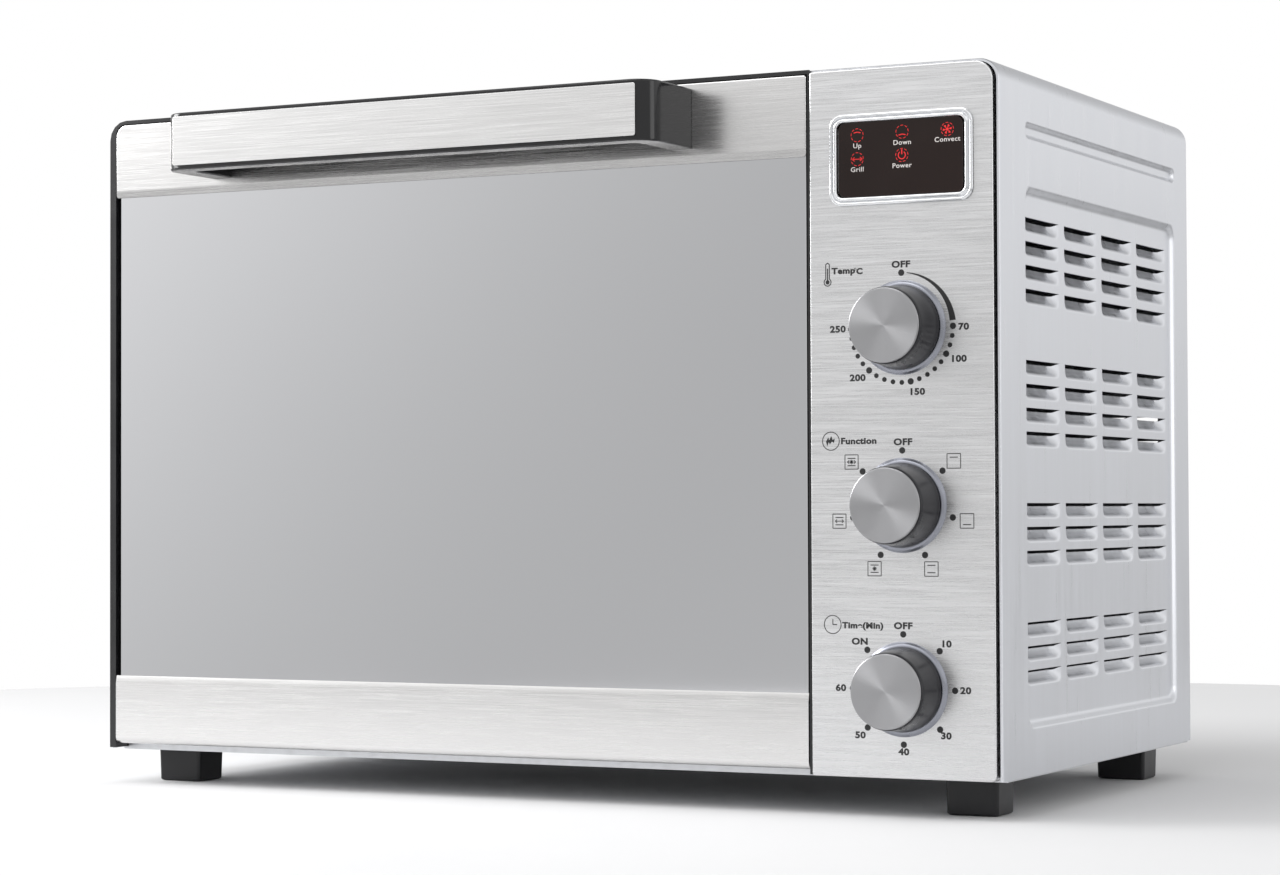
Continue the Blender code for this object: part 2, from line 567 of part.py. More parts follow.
def build_door_frame(look):
    """Ring behind the glass with deeper rails above and below it, where hinge and handle fix."""
    left, right = DOOR_LEFT + SHEET + GAP, DOOR_RIGHT - SHEET - GAP
    low, high = DOOR_BOTTOM + SHEET + GAP, DOOR_TOP - SHEET - GAP
    stile, rail = 0.024, 0.032
    front, back = GLASS_BACK + GAP, DOOR_THICK - GAP
    soft = 0.0028
    bm = bmesh.new()
    add_ring(bm, rounded(lx(left), lx(right), bz(low + soft), bz(high),
                         (0.0005, 0.0005, 0.0005, 0.0055)),
             rounded(lx(left + stile), lx(right - stile), bz(low + rail), bz(high - rail),
                     (0.004,) * 4), "y", fy(front), fy(back))
    frame = finish(bm, "door_inner_frame", look, hinge_origin())
    bm = bmesh.new()
    lap = 0.0012
    lower = bend((0.0046, low + 0.0032), 0.0032, 180, 90)
    lower += bend((back - lap - soft, low + soft), soft, 270, 90)
    lower += [(back - lap, GLASS_BOTTOM - GLASS_LAP - GAP), (0.0014, GLASS_BOTTOM - GLASS_LAP - GAP)]
    add_prism(bm, [(fy(y), bz(z)) for y, z in lower], "x", lx(left + 0.0003), lx(right - 0.0003))
    upper = rounded(lx(left + 0.0003), lx(right - 0.0003), bz(GLASS_TOP + GLASS_LAP + GAP),
                    bz(high - 0.0003), (0.0005, 0.0005, 0.0012, 0.0052))
    add_prism(bm, upper, "y", fy(0.0014), fy(back - lap))
    join(frame, bm, "join_door_rails")
    bm = bmesh.new()
    for x in (0.018, 0.407):
        add_box(bm, (lx(x), fy(0.0020), bz(0.0036)), (lx(x + 0.016), fy(0.016), bz(0.0138)))
    for x in stay_places():
        add_box(bm, (lx(x - 0.0014), fy(0.0079), bz(0.0945)), (lx(x + 0.0014), fy(0.016), bz(0.1025)))
    for x in handle_screw_places():
        add_turned(bm, [(0, fy(0)), (0.0024, fy(0)), (0.0024, fy(0.0110)), (0.0046, fy(0.0110)),
                        (0.0046, fy(0.016)), (0, fy(0.016))], "y", (lx(x), bz(HANDLE_UP)), 10)
    cut(frame, bm, "cut_door_holes")
    bm = bmesh.new()
    for x in (0.0, 0.400):
        add_rod(bm, "x", (fy(HINGE_BACK), bz(HINGE_UP)), PIN_HOLE, lx(x), lx(x + 0.041))
    cut(frame, bm, "cut_pin_holes")


# Handle: a U of black plastic with a steel plate let into its front
HANDLE_MID, HANDLE_HALF = 0.2213, 0.1505
HANDLE_LOW, HANDLE_HIGH = 0.3218, 0.3532
HANDLE_UP = (HANDLE_LOW + HANDLE_HIGH) / 2
HANDLE_BAR, HANDLE_ARM, HANDLE_BEND = 0.012, 0.013, 0.013
PLATE_HALF, PLATE_LOW, PLATE_HIGH, PLATE_THICK = 0.1423, 0.3241, 0.3510, 0.0008


def handle_screw_places():
    return (HANDLE_MID - HANDLE_HALF + HANDLE_ARM / 2, HANDLE_MID + HANDLE_HALF - HANDLE_ARM / 2)


def build_handle(black, steel, screw_look):
    front, foot = -HANDLE_REACH + PLATE_THICK + GAP, -GAP
    left, right = HANDLE_MID - HANDLE_HALF, HANDLE_MID + HANDLE_HALF
    outline = [(left, foot)]
    outline += bend((left + HANDLE_BEND, front + HANDLE_BEND), HANDLE_BEND, 180, 90, 5)
    outline += bend((right - HANDLE_BEND, front + HANDLE_BEND), HANDLE_BEND, 270, 90, 5)
    outline += [(right, foot), (right - HANDLE_ARM, foot)]
    fillet = 0.005
    inner_left, inner_right, inner = left + HANDLE_ARM, right - HANDLE_ARM, front + HANDLE_BAR
    outline += bend((inner_right - fillet, inner + fillet), fillet, 0, -90, 3)
    outline += bend((inner_left + fillet, inner + fillet), fillet, 270, -90, 3)
    outline += [(inner_left, foot)]
    bm = bmesh.new()
    add_prism(bm, [(lx(x), fy(y)) for x, y in outline], "z", bz(HANDLE_LOW), bz(HANDLE_HIGH))
    handle = finish(bm, "handle", black, hinge_origin())
    bm = bmesh.new()
    for x in handle_screw_places():
        add_rod(bm, "y", (lx(x), bz(HANDLE_UP)), 0.0024, fy(-0.0150), fy(0.002), 8)
    cut(handle, bm, "cut_handle_bores")
    bm = bmesh.new()
    outline = rounded(lx(HANDLE_MID - PLATE_HALF), lx(HANDLE_MID + PLATE_HALF), bz(PLATE_LOW),
                      bz(PLATE_HIGH), (0.001,) * 4, 2)
    add_prism(bm, outline, "y", fy(-HANDLE_REACH), fy(-HANDLE_REACH + PLATE_THICK))
    finish(bm, "handle_plate", steel, hinge_origin())
    for label, x in zip(("left", "right"), handle_screw_places()):
        bm = bmesh.new()
        add_turned(bm, [(0, fy(-0.0140)), (0.0020, fy(-0.0140)), (0.0020, fy(0.0113)),
                        (0.0040, fy(0.0113)), (0.0040, fy(0.0134)), (0, fy(0.0134))],
                   "y", (lx(x), bz(HANDLE_UP)), 8)
        finish(bm, "handle_screw_" + label, screw_look, hinge_origin())


def build_hinges(steel):
    """Pins in the frame, coiled springs on them, and quadrant stays that ride with the door."""
    axis = (fy(HINGE_BACK), bz(HINGE_UP))
    for label, low, high, spring in (("left", 0.0018, 0.0405, 0.0195), ("right", 0.4005, 0.4377, 0.4085)):
        bm = bmesh.new()
        add_rod(bm, "x", axis, PIN_RADIUS, lx(low), lx(high))
        finish(bm, "hinge_pin_" + label, steel, smooth=True)
        build_spring("door_spring_" + label, lx(spring), axis, steel)
    for label, x in zip(("left", "right"), stay_places()):
        bm = bmesh.new()
        half = STAY_WIDTH / 2
        outline = bend(axis, STAY_RADIUS + half, 89, -90, 14)
        outline += bend(axis, STAY_RADIUS + half + 0.0035, -1.3, -2.7, 1)
        outline += bend(axis, STAY_RADIUS - half, -4, 93, 14)
        add_prism(bm, outline, "x", lx(x) - STAY_THICK / 2, lx(x) + STAY_THICK / 2)
        finish(bm, "door_stay_" + label, steel, hinge_origin())


def build_spring(name, start, axis, look, turns=6, length=0.013, radius=0.0035, wire=0.0011):
    """A close-wound coil round a hinge pin."""
    steps, sides = 10, 5
    bm = bmesh.new()
    loops = []
    for i in range(turns * steps + 1):
        turn = 2 * pi * i / steps
        x = start + length * i / (turns * steps)
        loop = []
        for k in range(sides):
            around = 2 * pi * k / sides
            out = radius + wire / 2 * cos(around)
            loop.append(bm.verts.new((x + wire / 2 * sin(around), axis[0] + out * cos(turn),
                                      axis[1] + out * sin(turn))))
        loops.append(loop)
    for a, b in zip(loops, loops[1:]):
        for k in range(sides):
            j = (k + 1) % sides
            bm.faces.new((a[k], a[j], b[j], b[k]))
    bm.faces.new(loops[0])
    bm.faces.new(loops[-1])
    finish(bm, name, look, smooth=True)


# ---- works inside -------------------------------------------------------------------------------
def build_elements(look):
    """Straight heating tubes whose insulated ends pass through the cavity's sides."""
    half = [(0, 0.0142), (0.0018, 0.0142), (0.0018, 0.0170), (0.0050, 0.0170), (0.0050, 0.0260),
            (0.0036, 0.0260)]
    mirror = CAVITY_LEFT + CAVITY_RIGHT
    profile = half + [(r, mirror - x) for r, x in reversed(half)]
    for level, z in ELEMENT_HEIGHTS.items():
        for place, y in ELEMENT_BACKS.items():
            bm = bmesh.new()
            add_turned(bm, [(r, lx(x)) for r, x in profile], "x", (fy(y), bz(z)), 10)
            finish(bm, level + "_element_" + place, look, smooth=True)


def build_thermostat_bulb(look):
    """Sensing bulb of the thermostat, on two clips that stand off the cavity's right side."""
    bm = bmesh.new()
    x, z = 0.4095, 0.285
    add_turned(bm, [(0, fy(0.060)), (0.0012, fy(0.060)), (0.0012, fy(0.070)), (0.0024, fy(0.074)),
                    (0.0024, fy(0.146)), (0, fy(0.148))], "y", (lx(x), bz(z)), 8)
    bulb = finish(bm, "thermostat_bulb", look)
    bm = bmesh.new()
    for y in (0.085, 0.130):
        add_box(bm, (lx(x), fy(y), bz(z - 0.0012)), (lx(CAVITY_RIGHT - GAP), fy(y + 0.004),
                                                     bz(z + 0.0012)))
    join(bulb, bm, "join_bulb_clips")


def build_fan(fan_look, motor_look, guard_look):
    centre = (fy(FAN_BACK), bz(FAN_UP))
    origin = (lx(0.408), *centre)
    bm = bmesh.new()
    add_turned(bm, [(0, lx(0.4035)), (0.008, lx(0.4035)), (0.009, lx(0.4120)), (0.0025, lx(0.4120)),
                    (0.0025, lx(0.4206)), (0, lx(0.4206))], "x", centre, 16)
    fan = finish(bm, "fan_wheel", fan_look, origin)
    bm = bmesh.new()
    blades = 6
    for i in range(blades):
        turn = 2 * pi * i / blades
        across, along = (-sin(turn), cos(turn)), (cos(turn), sin(turn))
        half = 0.010
        corners = []
        for x_side, skew in ((-0.0035, -1), (0.0035, 1)):
            for thick in (-0.0005, 0.0005):
                for out in (0.006, BLADE_REACH):
                    wide = skew * half * (0.35 if out < 0.01 else 1.0)
                    corners.append((lx(0.4078) + x_side + thick,
                                    centre[0] + along[0] * out + across[0] * wide,
                                    centre[1] + along[1] * out + across[1] * wide))
        v = [bm.verts.new(c) for c in corners]
        for quad in ((0, 1, 3, 2), (4, 5, 7, 6), (0, 1, 5, 4), (2, 3, 7, 6), (0, 2, 6, 4), (1, 3, 7, 5)):
            bm.faces.new([v[k] for k in quad])
    join(fan, bm, "join_fan_blades")
    bm = bmesh.new()
    add_turned(bm, [(0, lx(0.4210)), (0.0150, lx(0.4210)), (0.0150, lx(0.4240)), (0.0300, lx(0.4240)),
                    (0.0300, lx(0.4480)), (0.0160, lx(0.4500)), (0.0160, lx(0.4600)), (0, lx(0.4600))],
               "x", centre, 20)
    finish(bm, "convection_motor", motor_look, smooth=True)
    bm = bmesh.new()
    wall = lx(CAVITY_RIGHT - GAP)
    add_turned(bm, [(0, lx(0.3990)), (GUARD_RADIUS - 0.0040, lx(0.3990)), (GUARD_RADIUS, lx(0.4030)),
                    (GUARD_RADIUS, wall), (GUARD_RADIUS - 0.0010, wall),
                    (GUARD_RADIUS - 0.0010, lx(0.4034)), (GUARD_RADIUS - 0.0044, lx(0.4000)),
                    (0, lx(0.4000))],
               "x", centre, 24)
    guard = finish(bm, "fan_guard", guard_look, smooth=True)
    bm = bmesh.new()
    for i in range(8):
        turn = 2 * pi * (i + 0.5) / 8
        spoke = [(0.010, 0.16), (BLADE_REACH, 0.16), (BLADE_REACH, -0.16), (0.010, -0.16)]
        add_prism(bm, [(centre[0] + r * cos(turn + a), centre[1] + r * sin(turn + a))
                       for r, a in spoke], "x", lx(0.397), lx(0.402))
    cut(guard, bm, "cut_guard_slots")


def build_rotisserie(steel, motor_look):
    centre = (fy(SPIT_BACK), bz(SPIT_UP))
    bm = bmesh.new()
    add_turned(bm, [(0, lx(0.4050)), (0.0080, lx(0.4050)), (0.0080, lx(0.4217)), (0, lx(0.4217))],
               "x", centre, 16)
    coupling = finish(bm, "rotisserie_coupling", steel, (lx(0.412), *centre), smooth=True)
    bm = bmesh.new()
    add_box(bm, (lx(0.4030), centre[0] - 0.0035, centre[1] - 0.0035),
            (lx(0.4170), centre[0] + 0.0035, centre[1] + 0.0035))
    cut(coupling, bm, "cut_coupling_socket")
    bm = bmesh.new()
    outline = rounded(centre[0] - 0.025, centre[0] + 0.025, centre[1] - 0.025, centre[1] + 0.025,
                      (0.008,) * 4, 2)
    add_prism(bm, outline, "x", lx(0.4220), lx(0.4440))
    finish(bm, "rotisserie_motor", motor_look)
    bm = bmesh.new()
    wall = CAVITY_LEFT + GAP
    section = [(wall, -0.016), (wall + 0.010, -0.016), (wall + 0.010, 0.009), (wall + 0.0088, 0.009),
               (wall + 0.0088, -0.0148), (wall + 0.0012, -0.0148), (wall + 0.0012, 0.009), (wall, 0.009)]
    add_prism(bm, [(lx(x), centre[1] + z) for x, z in section], "y", centre[0] - 0.011,
              centre[0] + 0.011)
    bracket = finish(bm, "spit_bracket", steel)
    bm = bmesh.new()
    notch = [(centre[0] + y, centre[1] + z) for y, z in
             [(0.0055, 0.012), (-0.0055, 0.012)] + bend((0, 0), 0.0034, 180, 180)]
    add_prism(bm, notch, "x", lx(wall + 0.006), lx(wall + 0.014))
    cut(bracket, bm, "cut_spit_notch")


def build_gland(look):
    bm = bmesh.new()
    add_turned(bm, [(0, fy(0.3140)), (0.0036, fy(0.3140)), (0.0036, fy(BODY_DEPTH + GLAND_REACH)),
                    (0.0058, fy(BODY_DEPTH + GLAND_REACH)), (0.0072, fy(0.3150)),
                    (0.0095, fy(0.3150)), (0.0095, fy(BODY_DEPTH - 0.0003)), (0.0056, fy(0.3127)),
                    (0.0056, fy(0.3060)), (0, fy(0.3060))], "y", (lx(0.487), bz(0.040)), 16)
    finish(bm, "cord_gland", look, smooth=True)


# ---- racks and trays ----------------------------------------------------------------------------
def rack_rest(height):
    """Height of what lies on a pair of rails."""
    return height + 0.0015 + 0.0025 + GAP


def add_wire(bm, start, end, radius, sides=6):
    axis = "x" if start[1] == end[1] else "y"
    first, second, run = AXES[axis]
    add_rod(bm, axis, (start[first], start[second]), radius, start[run], end[run], sides)


def build_wire_rack(look):
    radius, thin = 0.0025, 0.0014
    z = bz(rack_rest(RAIL_HEIGHTS[1]) + radius)
    left, right = lx(CAVITY_LEFT + 0.0040), lx(CAVITY_RIGHT - 0.0040)
    front, rear = fy(0.0250), fy(0.2760)
    bm = bmesh.new()
    sides, turns, corner = 6, 3, 0.010
    path = rounded(left, right, front, rear, (corner,) * 4, turns)
    loops = []
    for i, (x, y) in enumerate(path):
        turn = radians(180 + 90 * (i // (turns + 1)) + 90 * (i % (turns + 1)) / turns)
        loops.append([bm.verts.new((x + radius * cos(a) * cos(turn), y + radius * cos(a) * sin(turn),
                                    z + radius * sin(a)))
                      for a in (2 * pi * k / sides for k in range(sides))])
    for a, b in zip(loops, loops[1:] + loops[:1]):
        for k in range(sides):
            j = (k + 1) % sides
            bm.faces.new((a[k], a[j], b[j], b[k]))
    rack = finish(bm, "wire_rack", look, smooth=True)
    bm = bmesh.new()
    wires = 15
    for i in range(wires):
        x = left + (right - left) * (i + 1) / (wires + 1)
        add_wire(bm, (x, front - 0.0004, z + 0.0008), (x, rear + 0.0004, z + 0.0008), thin)
    join(rack, bm, "join_rack_wires")
    bm = bmesh.new()
    y = (front + rear) / 2
    add_wire(bm, (left - 0.0004, y, z - 0.0008), (right + 0.0004, y, z - 0.0008), thin)
    join(rack, bm, "join_rack_brace")


def build_tray(name, look, low, high, rim, corner):
    """A shallow pan from sheet: floor, sloped sides and a flat rim."""
    sheet = 0.0008
    (x0, y0), (x1, y1) = low[:2], high[:2]
    slope = 0.004

    def outline(inset, radius):
        return rounded(lx(x0 + inset), lx(x1 - inset), fy(y0 + inset), fy(y1 - inset),
                       (radius,) * 4, 3)

    stack = [(0, high[2], corner), (0, high[2] - sheet, corner),
             (rim, high[2] - sheet, corner - rim / 2), (rim + slope, low[2], corner - rim),
             (rim + slope + sheet, low[2] + sheet, corner - rim - sheet),
             (rim + sheet, high[2], corner - rim / 2 - sheet)]
    bm = bmesh.new()
    loops = [[bm.verts.new((x, y, bz(z))) for x, y in outline(inset, max(radius, 0.0005))]
             for inset, z, radius in stack]
    count = len(loops[0])
    for a, b in ((0, 1), (1, 2), (2, 3), (4, 5), (5, 0)):
        for i in range(count):
            j = (i + 1) % count
            bm.faces.new((loops[a][i], loops[a][j], loops[b][j], loops[b][i]))
    bm.faces.new(loops[3])
    bm.faces.new(loops[4])
    finish(bm, name, look)


def build_trays(tray_look, crumb_look):
    rim_top = rack_rest(RAIL_HEIGHTS[0]) + 0.0010
    build_tray("baking_tray", tray_look, (0.0235, 0.024, rim_top - 0.0145), (0.4165, 0.276, rim_top),
               0.010, 0.014)
    build_tray("crumb_tray", crumb_look, (0.028, 0.022, CAVITY_FLOOR + 0.0021),
               (0.412, 0.280, CAVITY_FLOOR + 0.0090), 0.005, 0.008)


# ---- feet ---------------------------------------------------------------------------------------
FOOT_WIDE, FOOT_DEEP, FOOT_SIDE = 0.0285, 0.0245, 0.0130
FOOT_BACKS = {"front": 0.0295, "rear": 0.2650}


def foot_places():
    """Middle of each foot, left then right, front then rear."""
    middle = FOOT_SIDE + FOOT_WIDE / 2
    return [(lx(x), fy(back + FOOT_DEEP / 2)) for back in FOOT_BACKS.values()
            for x in (middle, WIDTH - middle)]


def build_feet(rubber, steel):
    names = [place + "_" + side for place in FOOT_BACKS for side in ("left", "right")]
    top = FOOT_HEIGHT - 0.001 - GAP
    for name, (x, y) in zip(names, foot_places()):
        bm = bmesh.new()
        loops = []
        for z, inset in ((0.0, 0.0012), (0.0008, 0.0004), (top, 0.0)):
            outline = rounded(x - FOOT_WIDE / 2 + inset, x + FOOT_WIDE / 2 - inset,
                              y - FOOT_DEEP / 2 + inset, y + FOOT_DEEP / 2 - inset, (0.002,) * 4, 2)
            loops.append([bm.verts.new((u, v, z)) for u, v in outline])
        count = len(loops[0])
        for a, b in zip(loops, loops[1:]):
            for i in range(count):
                j = (i + 1) % count
                bm.faces.new((a[i], a[j], b[j], b[i]))
        bm.faces.new(loops[0])
        bm.faces.new(loops[-1])
        foot = finish(bm, "foot_" + name, rubber)
        bm = bmesh.new()
        add_turned(bm, [(0, -0.001), (0.0046, -0.001), (0.0046, 0.0120), (0.0024, 0.0120),
                        (0.0024, 0.021), (0, 0.021)], "z", (x, y), 8)
        cut(foot, bm, "cut_foot_bore_" + name)
        bm = bmesh.new()
        add_turned(bm, [(0, 0.0098), (0.0040, 0.0098), (0.0040, 0.0117), (0.0020, 0.0117),
                        (0.0020, 0.0225), (0, 0.0225)], "z", (x, y), 8)
        finish(bm, "foot_screw_" + name, steel)


def build():
    for old in list(bpy.data.objects):
        bpy.data.objects.remove(old)
    satin = material("satin_steel", (0.52, 0.53, 0.56), 0.42, 1.0)
    brushed = material("brushed_steel", (0.60, 0.60, 0.61), 0.36, 1.0)
    black = material("black_enamel", (0.02, 0.02, 0.022), 0.35)
    liner = material("cavity_enamel", (0.16, 0.16, 0.17), 0.45)
    glass = material("mirror_glass", (0.62, 0.63, 0.65), 0.06, 1.0)
    gloss = material("gloss_black_plastic", (0.012, 0.012, 0.013), 0.12)
    knob = material("charcoal_plastic", (0.035, 0.035, 0.04), 0.38)
    spun = material("spun_aluminium", (0.66, 0.66, 0.67), 0.30, 1.0)
    chrome = material("chrome", (0.78, 0.78, 0.79), 0.10, 1.0)
    smoked = material("smoked_window", (0.03, 0.014, 0.012), 0.08)
    board = material("circuit_board", (0.03, 0.16, 0.07), 0.50)
    rubber = material("foot_plastic", (0.015, 0.015, 0.018), 0.55)
    zinc = material("zinc_steel", (0.50, 0.50, 0.50), 0.40, 1.0)
    tube = material("element_steel", (0.30, 0.29, 0.28), 0.40, 1.0)
    unit = material("unit_housing", (0.10, 0.10, 0.11), 0.60)
    copper = material("copper_tube", (0.60, 0.33, 0.20), 0.35, 1.0)
    tray = material("tray_enamel", (0.03, 0.03, 0.035), 0.40)

    build_wrapper(satin)
    build_back_panel(zinc)
    build_base_plate(zinc)
    build_front_frame(black)
    build_cavity(liner)
    build_control_panel(brushed)
    build_display(chrome, smoked, board)
    build_dial("temp", (0.036, 0.032, 0.030), knob, spun, zinc, unit)
    build_dial("function", (0.034, 0.034, 0.034), knob, spun, zinc, unit)
    build_dial("timer", (0.048, 0.050, 0.040), knob, spun, zinc, unit)
    build_trims(brushed)
    build_glass(glass)
    build_door_frame(black)
    build_handle(gloss, brushed, zinc)
    build_hinges(zinc)
    build_elements(tube)
    build_thermostat_bulb(copper)
    build_fan(zinc, unit, zinc)
    build_rotisserie(zinc, unit)
    build_gland(gloss)
    build_wire_rack(chrome)
    build_trays(tray, zinc)
    build_feet(rubber, zinc)


build()
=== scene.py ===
"""Looks of the convection toaster oven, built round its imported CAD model. Metres, +Z up, door at -Y."""

import bmesh
import bpy
from math import ceil, cos, hypot, pi, radians, sin
from mathutils import Matrix, Vector


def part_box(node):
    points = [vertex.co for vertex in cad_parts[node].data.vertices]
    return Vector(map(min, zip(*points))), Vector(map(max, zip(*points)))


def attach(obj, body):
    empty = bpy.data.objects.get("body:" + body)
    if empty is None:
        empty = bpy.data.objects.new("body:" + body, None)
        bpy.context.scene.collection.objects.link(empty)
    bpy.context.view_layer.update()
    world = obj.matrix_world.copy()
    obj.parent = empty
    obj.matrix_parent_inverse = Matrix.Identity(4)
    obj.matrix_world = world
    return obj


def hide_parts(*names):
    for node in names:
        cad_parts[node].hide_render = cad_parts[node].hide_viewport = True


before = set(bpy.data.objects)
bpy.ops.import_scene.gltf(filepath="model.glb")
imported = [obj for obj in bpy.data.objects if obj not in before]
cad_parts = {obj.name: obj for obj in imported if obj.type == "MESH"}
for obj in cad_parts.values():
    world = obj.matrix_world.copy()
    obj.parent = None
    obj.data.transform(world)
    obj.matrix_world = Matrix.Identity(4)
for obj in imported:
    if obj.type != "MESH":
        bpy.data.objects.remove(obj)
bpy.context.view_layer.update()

# ---- sizes, as in the CAD ------------------------------------------------------------------------
WIDTH, BODY_HEIGHT, BODY_DEPTH = 0.540, 0.3584, 0.313
FOOT_HEIGHT, FRONT_Y = 0.020, -0.136
SHEET, CORNER = 0.0011, 0.011
DOOR_LEFT, DOOR_RIGHT, DOOR_BOTTOM, DOOR_TOP = 0.0046, 0.4364, 0.0029, 0.3559
GLASS_BOTTOM, GLASS_TOP, GLASS_LAP = 0.0415, 0.3142, 0.0055
DIAL_X = 0.4883
DIAL_HEIGHTS = {"temp": 0.2255, "function": 0.1365, "timer": 0.0446}
DISPLAY_X, DISPLAY_UP = 0.4884, 0.3109
HANDLE_MID, HANDLE_HALF, HANDLE_REACH = 0.2213, 0.1505, 0.049
HANDLE_LOW, HANDLE_HIGH = 0.3218, 0.3532
AXES = {"x": (1, 2, 0), "y": (0, 2, 1), "z": (0, 1, 2)}


def lx(x):
    return x - WIDTH / 2


def fy(y):
    return FRONT_Y + y


def bz(z):
    return FOOT_HEIGHT + z


# ---- materials -----------------------------------------------------------------------------------
class Look:
    """A Principled material with a few node helpers."""

    def __init__(self, name, colour, roughness, metallic=0.0, **sockets):
        self.material = bpy.data.materials.new(name)
        self.material.use_nodes = True
        self.tree = self.material.node_tree
        self.shader = self.tree.nodes["Principled BSDF"]
        self.colour, self.roughness = colour, roughness
        self.set("Base Color", (*colour, 1.0))
        self.set("Roughness", roughness)
        self.set("Metallic", metallic)
        for socket, value in sockets.items():
            self.set(socket.replace("_", " "), value)
        self.bump = None

    def set(self, socket, value):
        self.shader.inputs[socket].default_value = value

    def node(self, kind, **values):
        made = self.tree.nodes.new("ShaderNode" + kind)
        for key, value in values.items():
            if key in made.inputs:
                made.inputs[key].default_value = value
            else:
                setattr(made, key, value)
        return made

    def link(self, a, b):
        self.tree.links.new(a, b)

    def noise(self, scale, detail, rough=0.55):
        """Noise over object coordinates, with one scale or a scale per axis."""
        coords = self.node("TexCoord")
        mapping = self.node("Mapping")
        mapping.inputs["Scale"].default_value = scale if isinstance(scale, (tuple, list)) else (scale,) * 3
        noise = self.node("TexNoise")
        noise.inputs["Scale"].default_value = 1.0
        noise.inputs["Detail"].default_value = detail
        noise.inputs["Roughness"].default_value = rough
        self.link(coords.outputs["Object"], mapping.inputs["Vector"])
        self.link(mapping.outputs["Vector"], noise.inputs["Vector"])
        return noise.outputs["Fac"]

    def ranged(self, value, low, high, start=0.3, end=0.7):
        made = self.node("MapRange")
        made.inputs["From Min"].default_value = start
        made.inputs["From Max"].default_value = end
        made.inputs["To Min"].default_value = low
        made.inputs["To Max"].default_value = high
        self.link(value, made.inputs["Value"])
        return made.outputs["Result"]

    def vary_roughness(self, value, spread, start=0.3, end=0.7):
        self.link(self.ranged(value, self.roughness - spread, self.roughness + spread, start, end),
                  self.shader.inputs["Roughness"])

    def vary_colour(self, value, dark, light, start=0.3, end=0.7):
        """Scales the colour between two factors."""
        mix = self.node("Mix", data_type="RGBA")
        self.link(self.ranged(value, 0.0, 1.0, start, end), mix.inputs["Factor"])
        sockets = [s for s in mix.inputs if s.type == "RGBA"]
        for socket, factor in zip(sockets, (dark, light)):
            socket.default_value = (*[min(c * factor, 1.0) for c in self.colour], 1.0)
        out = [s for s in mix.outputs if s.type == "RGBA"][0]
        self.link(out, self.shader.inputs["Base Color"])

    def add_bump(self, value, strength, distance):
        made = self.node("Bump")
        made.inputs["Strength"].default_value = strength
        made.inputs["Distance"].default_value = distance
        self.link(value, made.inputs["Height"])
        if self.bump:
            self.link(self.bump, made.inputs["Normal"])
        self.bump = made.outputs["Normal"]
        self.link(self.bump, self.shader.inputs["Normal"])


STREAK_STRETCH = 0.45
HAIR_RANGE = (0.36, 0.64)


def brushed(name, colour, roughness, stretch, fine=(0.93, 1.05), bump=0.25):
    """Brushed metal: hair lines along one axis, a broader streak and slow blotches."""
    look = Look(name, colour, roughness, 1.0)
    hair = look.noise(stretch, 4.0, 0.7)
    streak = look.noise([s * STREAK_STRETCH for s in stretch], 2.0)
    both = look.node("Math", operation="ADD")
    look.link(hair, both.inputs[0])
    look.link(streak, both.inputs[1])
    half = look.node("Math", operation="MULTIPLY")
    half.inputs[1].default_value = 0.5
    look.link(both.outputs[0], half.inputs[0])
    look.vary_colour(half.outputs[0], *fine, *HAIR_RANGE)
    look.vary_roughness(half.outputs[0], 0.07, *HAIR_RANGE)
    look.add_bump(hair, bump, 0.00004)
    look.add_bump(look.noise(9, 2.0), 0.10, 0.0006)
    return look.material


def moulded(name, colour, roughness, grain=2600.0, bump=0.12, **sockets):
    """Moulded plastic or enamel: fine grain, and a slow change of gloss."""
    look = Look(name, colour, roughness, 0.0, **sockets)
    look.vary_roughness(look.noise(40, 3.0), 0.05)
    look.vary_colour(look.noise(14, 2.0), 0.88, 1.12)
    look.add_bump(look.noise(grain, 2.0), bump, 0.00003)
    return look.material


def spun(name, colour, roughness):
    """Turned aluminium: rings about the object's Y axis and a fan-shaped gleam."""
    look = Look(name, colour, roughness, 1.0, Anisotropic=0.82, Anisotropic_Rotation=0.25)
    coords = look.node("TexCoord")
    wave = look.node("TexWave", wave_type="RINGS", rings_direction="Y")
    wave.inputs["Scale"].default_value = 620.0
    wave.inputs["Distortion"].default_value = 1.2
    wave.inputs["Detail"].default_value = 2.0
    wave.inputs["Detail Scale"].default_value = 3.0
    look.link(coords.outputs["Object"], wave.inputs["Vector"])
    look.add_bump(wave.outputs["Fac"], 0.16, 0.00004)
    look.vary_roughness(wave.outputs["Fac"], 0.03, 0.0, 1.0)
    look.vary_colour(look.noise(30, 2.0), 0.95, 1.04)
    tangent = look.node("Tangent", direction_type="RADIAL", axis="Y")
    look.link(tangent.outputs["Tangent"], look.shader.inputs["Tangent"])
    return look.material


def smooth_metal(name, colour, roughness, bump=0.06):
    """Plain or plated metal with a slow change of gloss."""
    look = Look(name, colour, roughness, 1.0)
    look.vary_roughness(look.noise(60, 3.0), roughness * 0.25)
    look.vary_colour(look.noise(25, 2.0), 0.94, 1.04)
    look.add_bump(look.noise(900, 2.0), bump, 0.00002)
    return look.material


def galvanised(name, colour, roughness):
    """Zinc-plated sheet with faint crystal spangle."""
    look = Look(name, colour, roughness, 1.0)
    coords = look.node("TexCoord")
    cells = look.node("TexVoronoi", feature="F1")
    cells.inputs["Scale"].default_value = 160.0
    look.link(coords.outputs["Object"], cells.inputs["Vector"])
    look.vary_roughness(cells.outputs["Distance"], 0.08, 0.0, 0.8)
    look.vary_colour(cells.outputs["Distance"], 0.90, 1.05, 0.0, 0.8)
    look.add_bump(look.noise(700, 2.0), 0.08, 0.00003)
    return look.material


